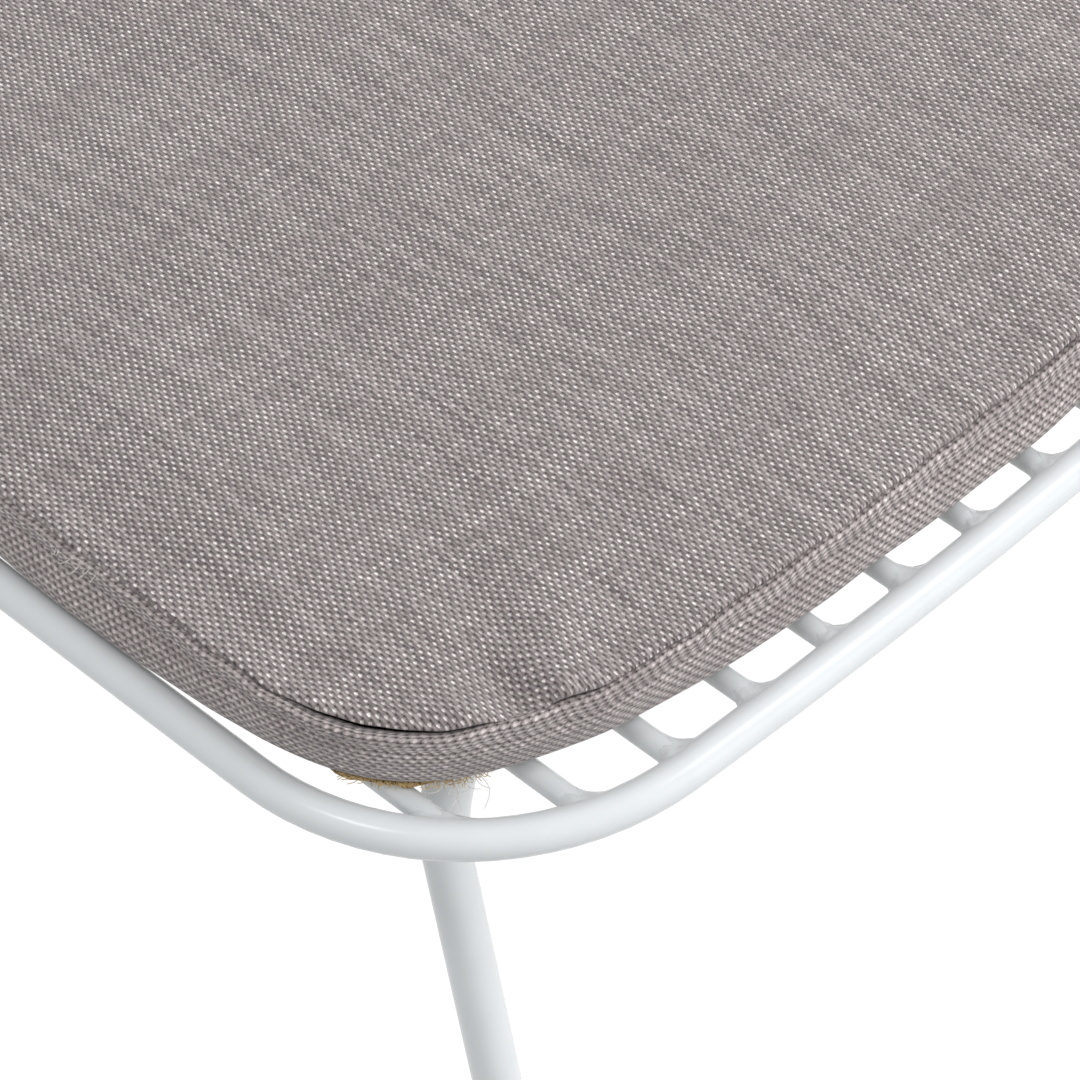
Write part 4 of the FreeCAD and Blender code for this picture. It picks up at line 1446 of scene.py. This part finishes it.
    def _backing(self) -> bpy.types.Object:
        """The tan backing cloth, whose cut edge shows a little under the photographed corner."""
        outline = self.outline
        bare = outline.drawn([
            (-0.2104, 0.0, 0.0), (-0.2098, -0.178, 0.0), (-0.206, -0.187, 1.0),
            (-0.1994, -0.201, 1.0), (-0.193, -0.207, 0.25), (-0.186, -0.212, 0.0),
            (0.0, -0.23, 0.0), (0.2104, 0.0, 0.0)], soften=1)
        fray = 0.45 * outline.wander(420.0, 2.0) + 0.35 * outline.wander(150.0, 6.0)
        edge = self.foot_shift + mm(1.0) * (bare * (3.0 + 1.2 * fray) - 3.4)
        thick = 0.5
        rim = [outline.row(edge + mm(offset), self.foot_z + mm(height)) for offset, height in (
            (-0.5, thick), (-0.1, 0.36), (0.0, 0.15), (-0.4, 0.0))]
        inside = (0.9, 0.6, 0.3)
        over = [outline.raised(outline.drawn_in(rim[0], share), self.foot_z + mm(thick))
                for share in reversed(inside)]
        under = [outline.raised(outline.drawn_in(rim[3], share), self.foot_z)
                 for share in inside]
        rows = over + rim + under
        points = np.vstack(rows)
        faces = tube_faces(len(rows), outline.samples, turned=True)
        piece = add_piece("pad_backing", points, faces, self.tan)
        write_cloth_places(piece.data, points[:, :2].copy())
        return piece


@dataclass
class LooseThreads:
    """Frayed ends: tan ones under the photographed corner, pale ones at the left seam."""
    pad: SeatPad
    seed: int = 23
    sides: int = 5
    joints: int = 12

    def build(self) -> None:
        """Makes both bunches."""
        chance = random.Random(self.seed)
        outline = self.pad.outline
        foot_z = self.pad.foot_z
        foot, seam = self.pad.foot_shift, self.pad.seam_shift
        tan = SewingThread("tan_thread", linear(220, 192, 140)).build()
        pale = SewingThread("pale_thread", linear(226, 221, 214)).build()
        corner = (outline.nearest(-0.2065, -0.187), outline.nearest(-0.1900, -0.2095))
        low = [self._strand(chance, corner, foot, chance.uniform(-2.2, -0.8),
                            foot_z + chance.uniform(0.0003, 0.0009), mm(2.4), -0.08, mm(0.08))
               for _ in range(120)]
        self._bunch("corner_frays", low, tan)
        loops = (outline.nearest(-0.1975, -0.2025), outline.nearest(-0.1905, -0.209))
        side = (outline.nearest(-0.2104, -0.118), outline.nearest(-0.2104, -0.129))
        far = (outline.nearest(-0.2104, -0.100), outline.nearest(-0.2104, -0.105))
        seam_z = foot_z + self.pad.seam_rise
        light = [self._strand(chance, *where) for count, *where in (
            (14, loops, foot, -1.9, foot_z + mm(0.7), mm(8.5), -0.05, mm(0.07)),
            (12, side, seam, -0.8, seam_z, mm(4.0), -0.5, mm(0.09)),
            (5, far, seam, -0.8, seam_z, mm(3.0), -0.5, mm(0.09))) for _ in range(count)]
        self._bunch("pale_frays", light, pale)

    def _strand(self, chance: random.Random, span: tuple[float, float], shift: np.ndarray,
                inset: float, height: float, reach: float, fall: float,
                radius: float) -> tuple[list[Vector], float]:
        """One curled thread.

        Args:
            chance: The random order.
            span: Places round the outline between which it may start.
            shift: The pad's own shift there.
            inset: Start outward of the shifted outline, in millimetres.
            height: Height where it starts.
            reach: Its usual length.
            fall: How steeply it falls.
            radius: Its radius.

        Returns:
            Its points and its radius.
        """
        outline = self.pad.outline
        column = outline.column_at(chance.uniform(*span))
        out = outline.outward[column]
        base = outline.points[column] + out * (shift[column] + mm(inset))
        spot = Vector((base[0], base[1], height))
        turn = chance.uniform(-1.35, 1.35)
        heading = Vector((out[0] * math.cos(turn) - out[1] * math.sin(turn),
                          out[0] * math.sin(turn) + out[1] * math.cos(turn), fall))
        curl = chance.uniform(-0.32, 0.32)
        length = reach * chance.uniform(0.45, 1.15)
        points = [spot.copy()]
        floor_z = self.pad.foot_z + mm(0.12)
        for _ in range(self.joints - 1):
            heading = Matrix.Rotation(curl + chance.uniform(-0.2, 0.2), 3, "Z") @ heading
            heading.normalize()
            spot = spot + heading * (length / (self.joints - 1))
            spot.z = max(spot.z, floor_z)
            points.append(spot.copy())
        return points, radius

    def _bunch(self, name: str, strands: Sequence[tuple[list[Vector], float]],
               material: Material) -> None:
        """Makes one piece of many strands.

        Args:
            name: The piece's name.
            strands: Points and radius of each.
            material: Its finish.
        """
        points: list[tuple[float, ...]] = []
        faces: list[Face] = []
        for spots, radius in strands:
            first = len(points)
            for number, spot in enumerate(spots):
                before = spots[max(number - 1, 0)]
                after = spots[min(number + 1, len(spots) - 1)]
                along = (after - before).normalized()
                side = along.cross(Vector((0.0, 0.0, 1.0)))
                if side.length < 0.1:
                    side = along.cross(Vector((1.0, 0.0, 0.0)))
                side.normalize()
                upper = side.cross(along)
                thin = radius * (0.45 if number == len(spots) - 1 else 1.0)
                for corner in range(self.sides):
                    angle = 2.0 * math.pi * corner / self.sides
                    points.append(tuple(spot + side * (math.cos(angle) * thin)
                                        + upper * (math.sin(angle) * thin)))
            faces.extend(tube_faces(len(spots), self.sides, first))
        piece = add_piece(name, np.array(points), faces, material)
        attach(piece, "seat_pad")
        log.info("%s: %d strands", name, len(strands))


def main() -> None:
    """Builds the scene in order."""
    PhotoCamera().build()
    Studio().build()
    sizes = SeatSizes()
    SteelFrame(sizes).build()
    SeatPad(sizes).build()


if __name__ == "__main__":
    main()
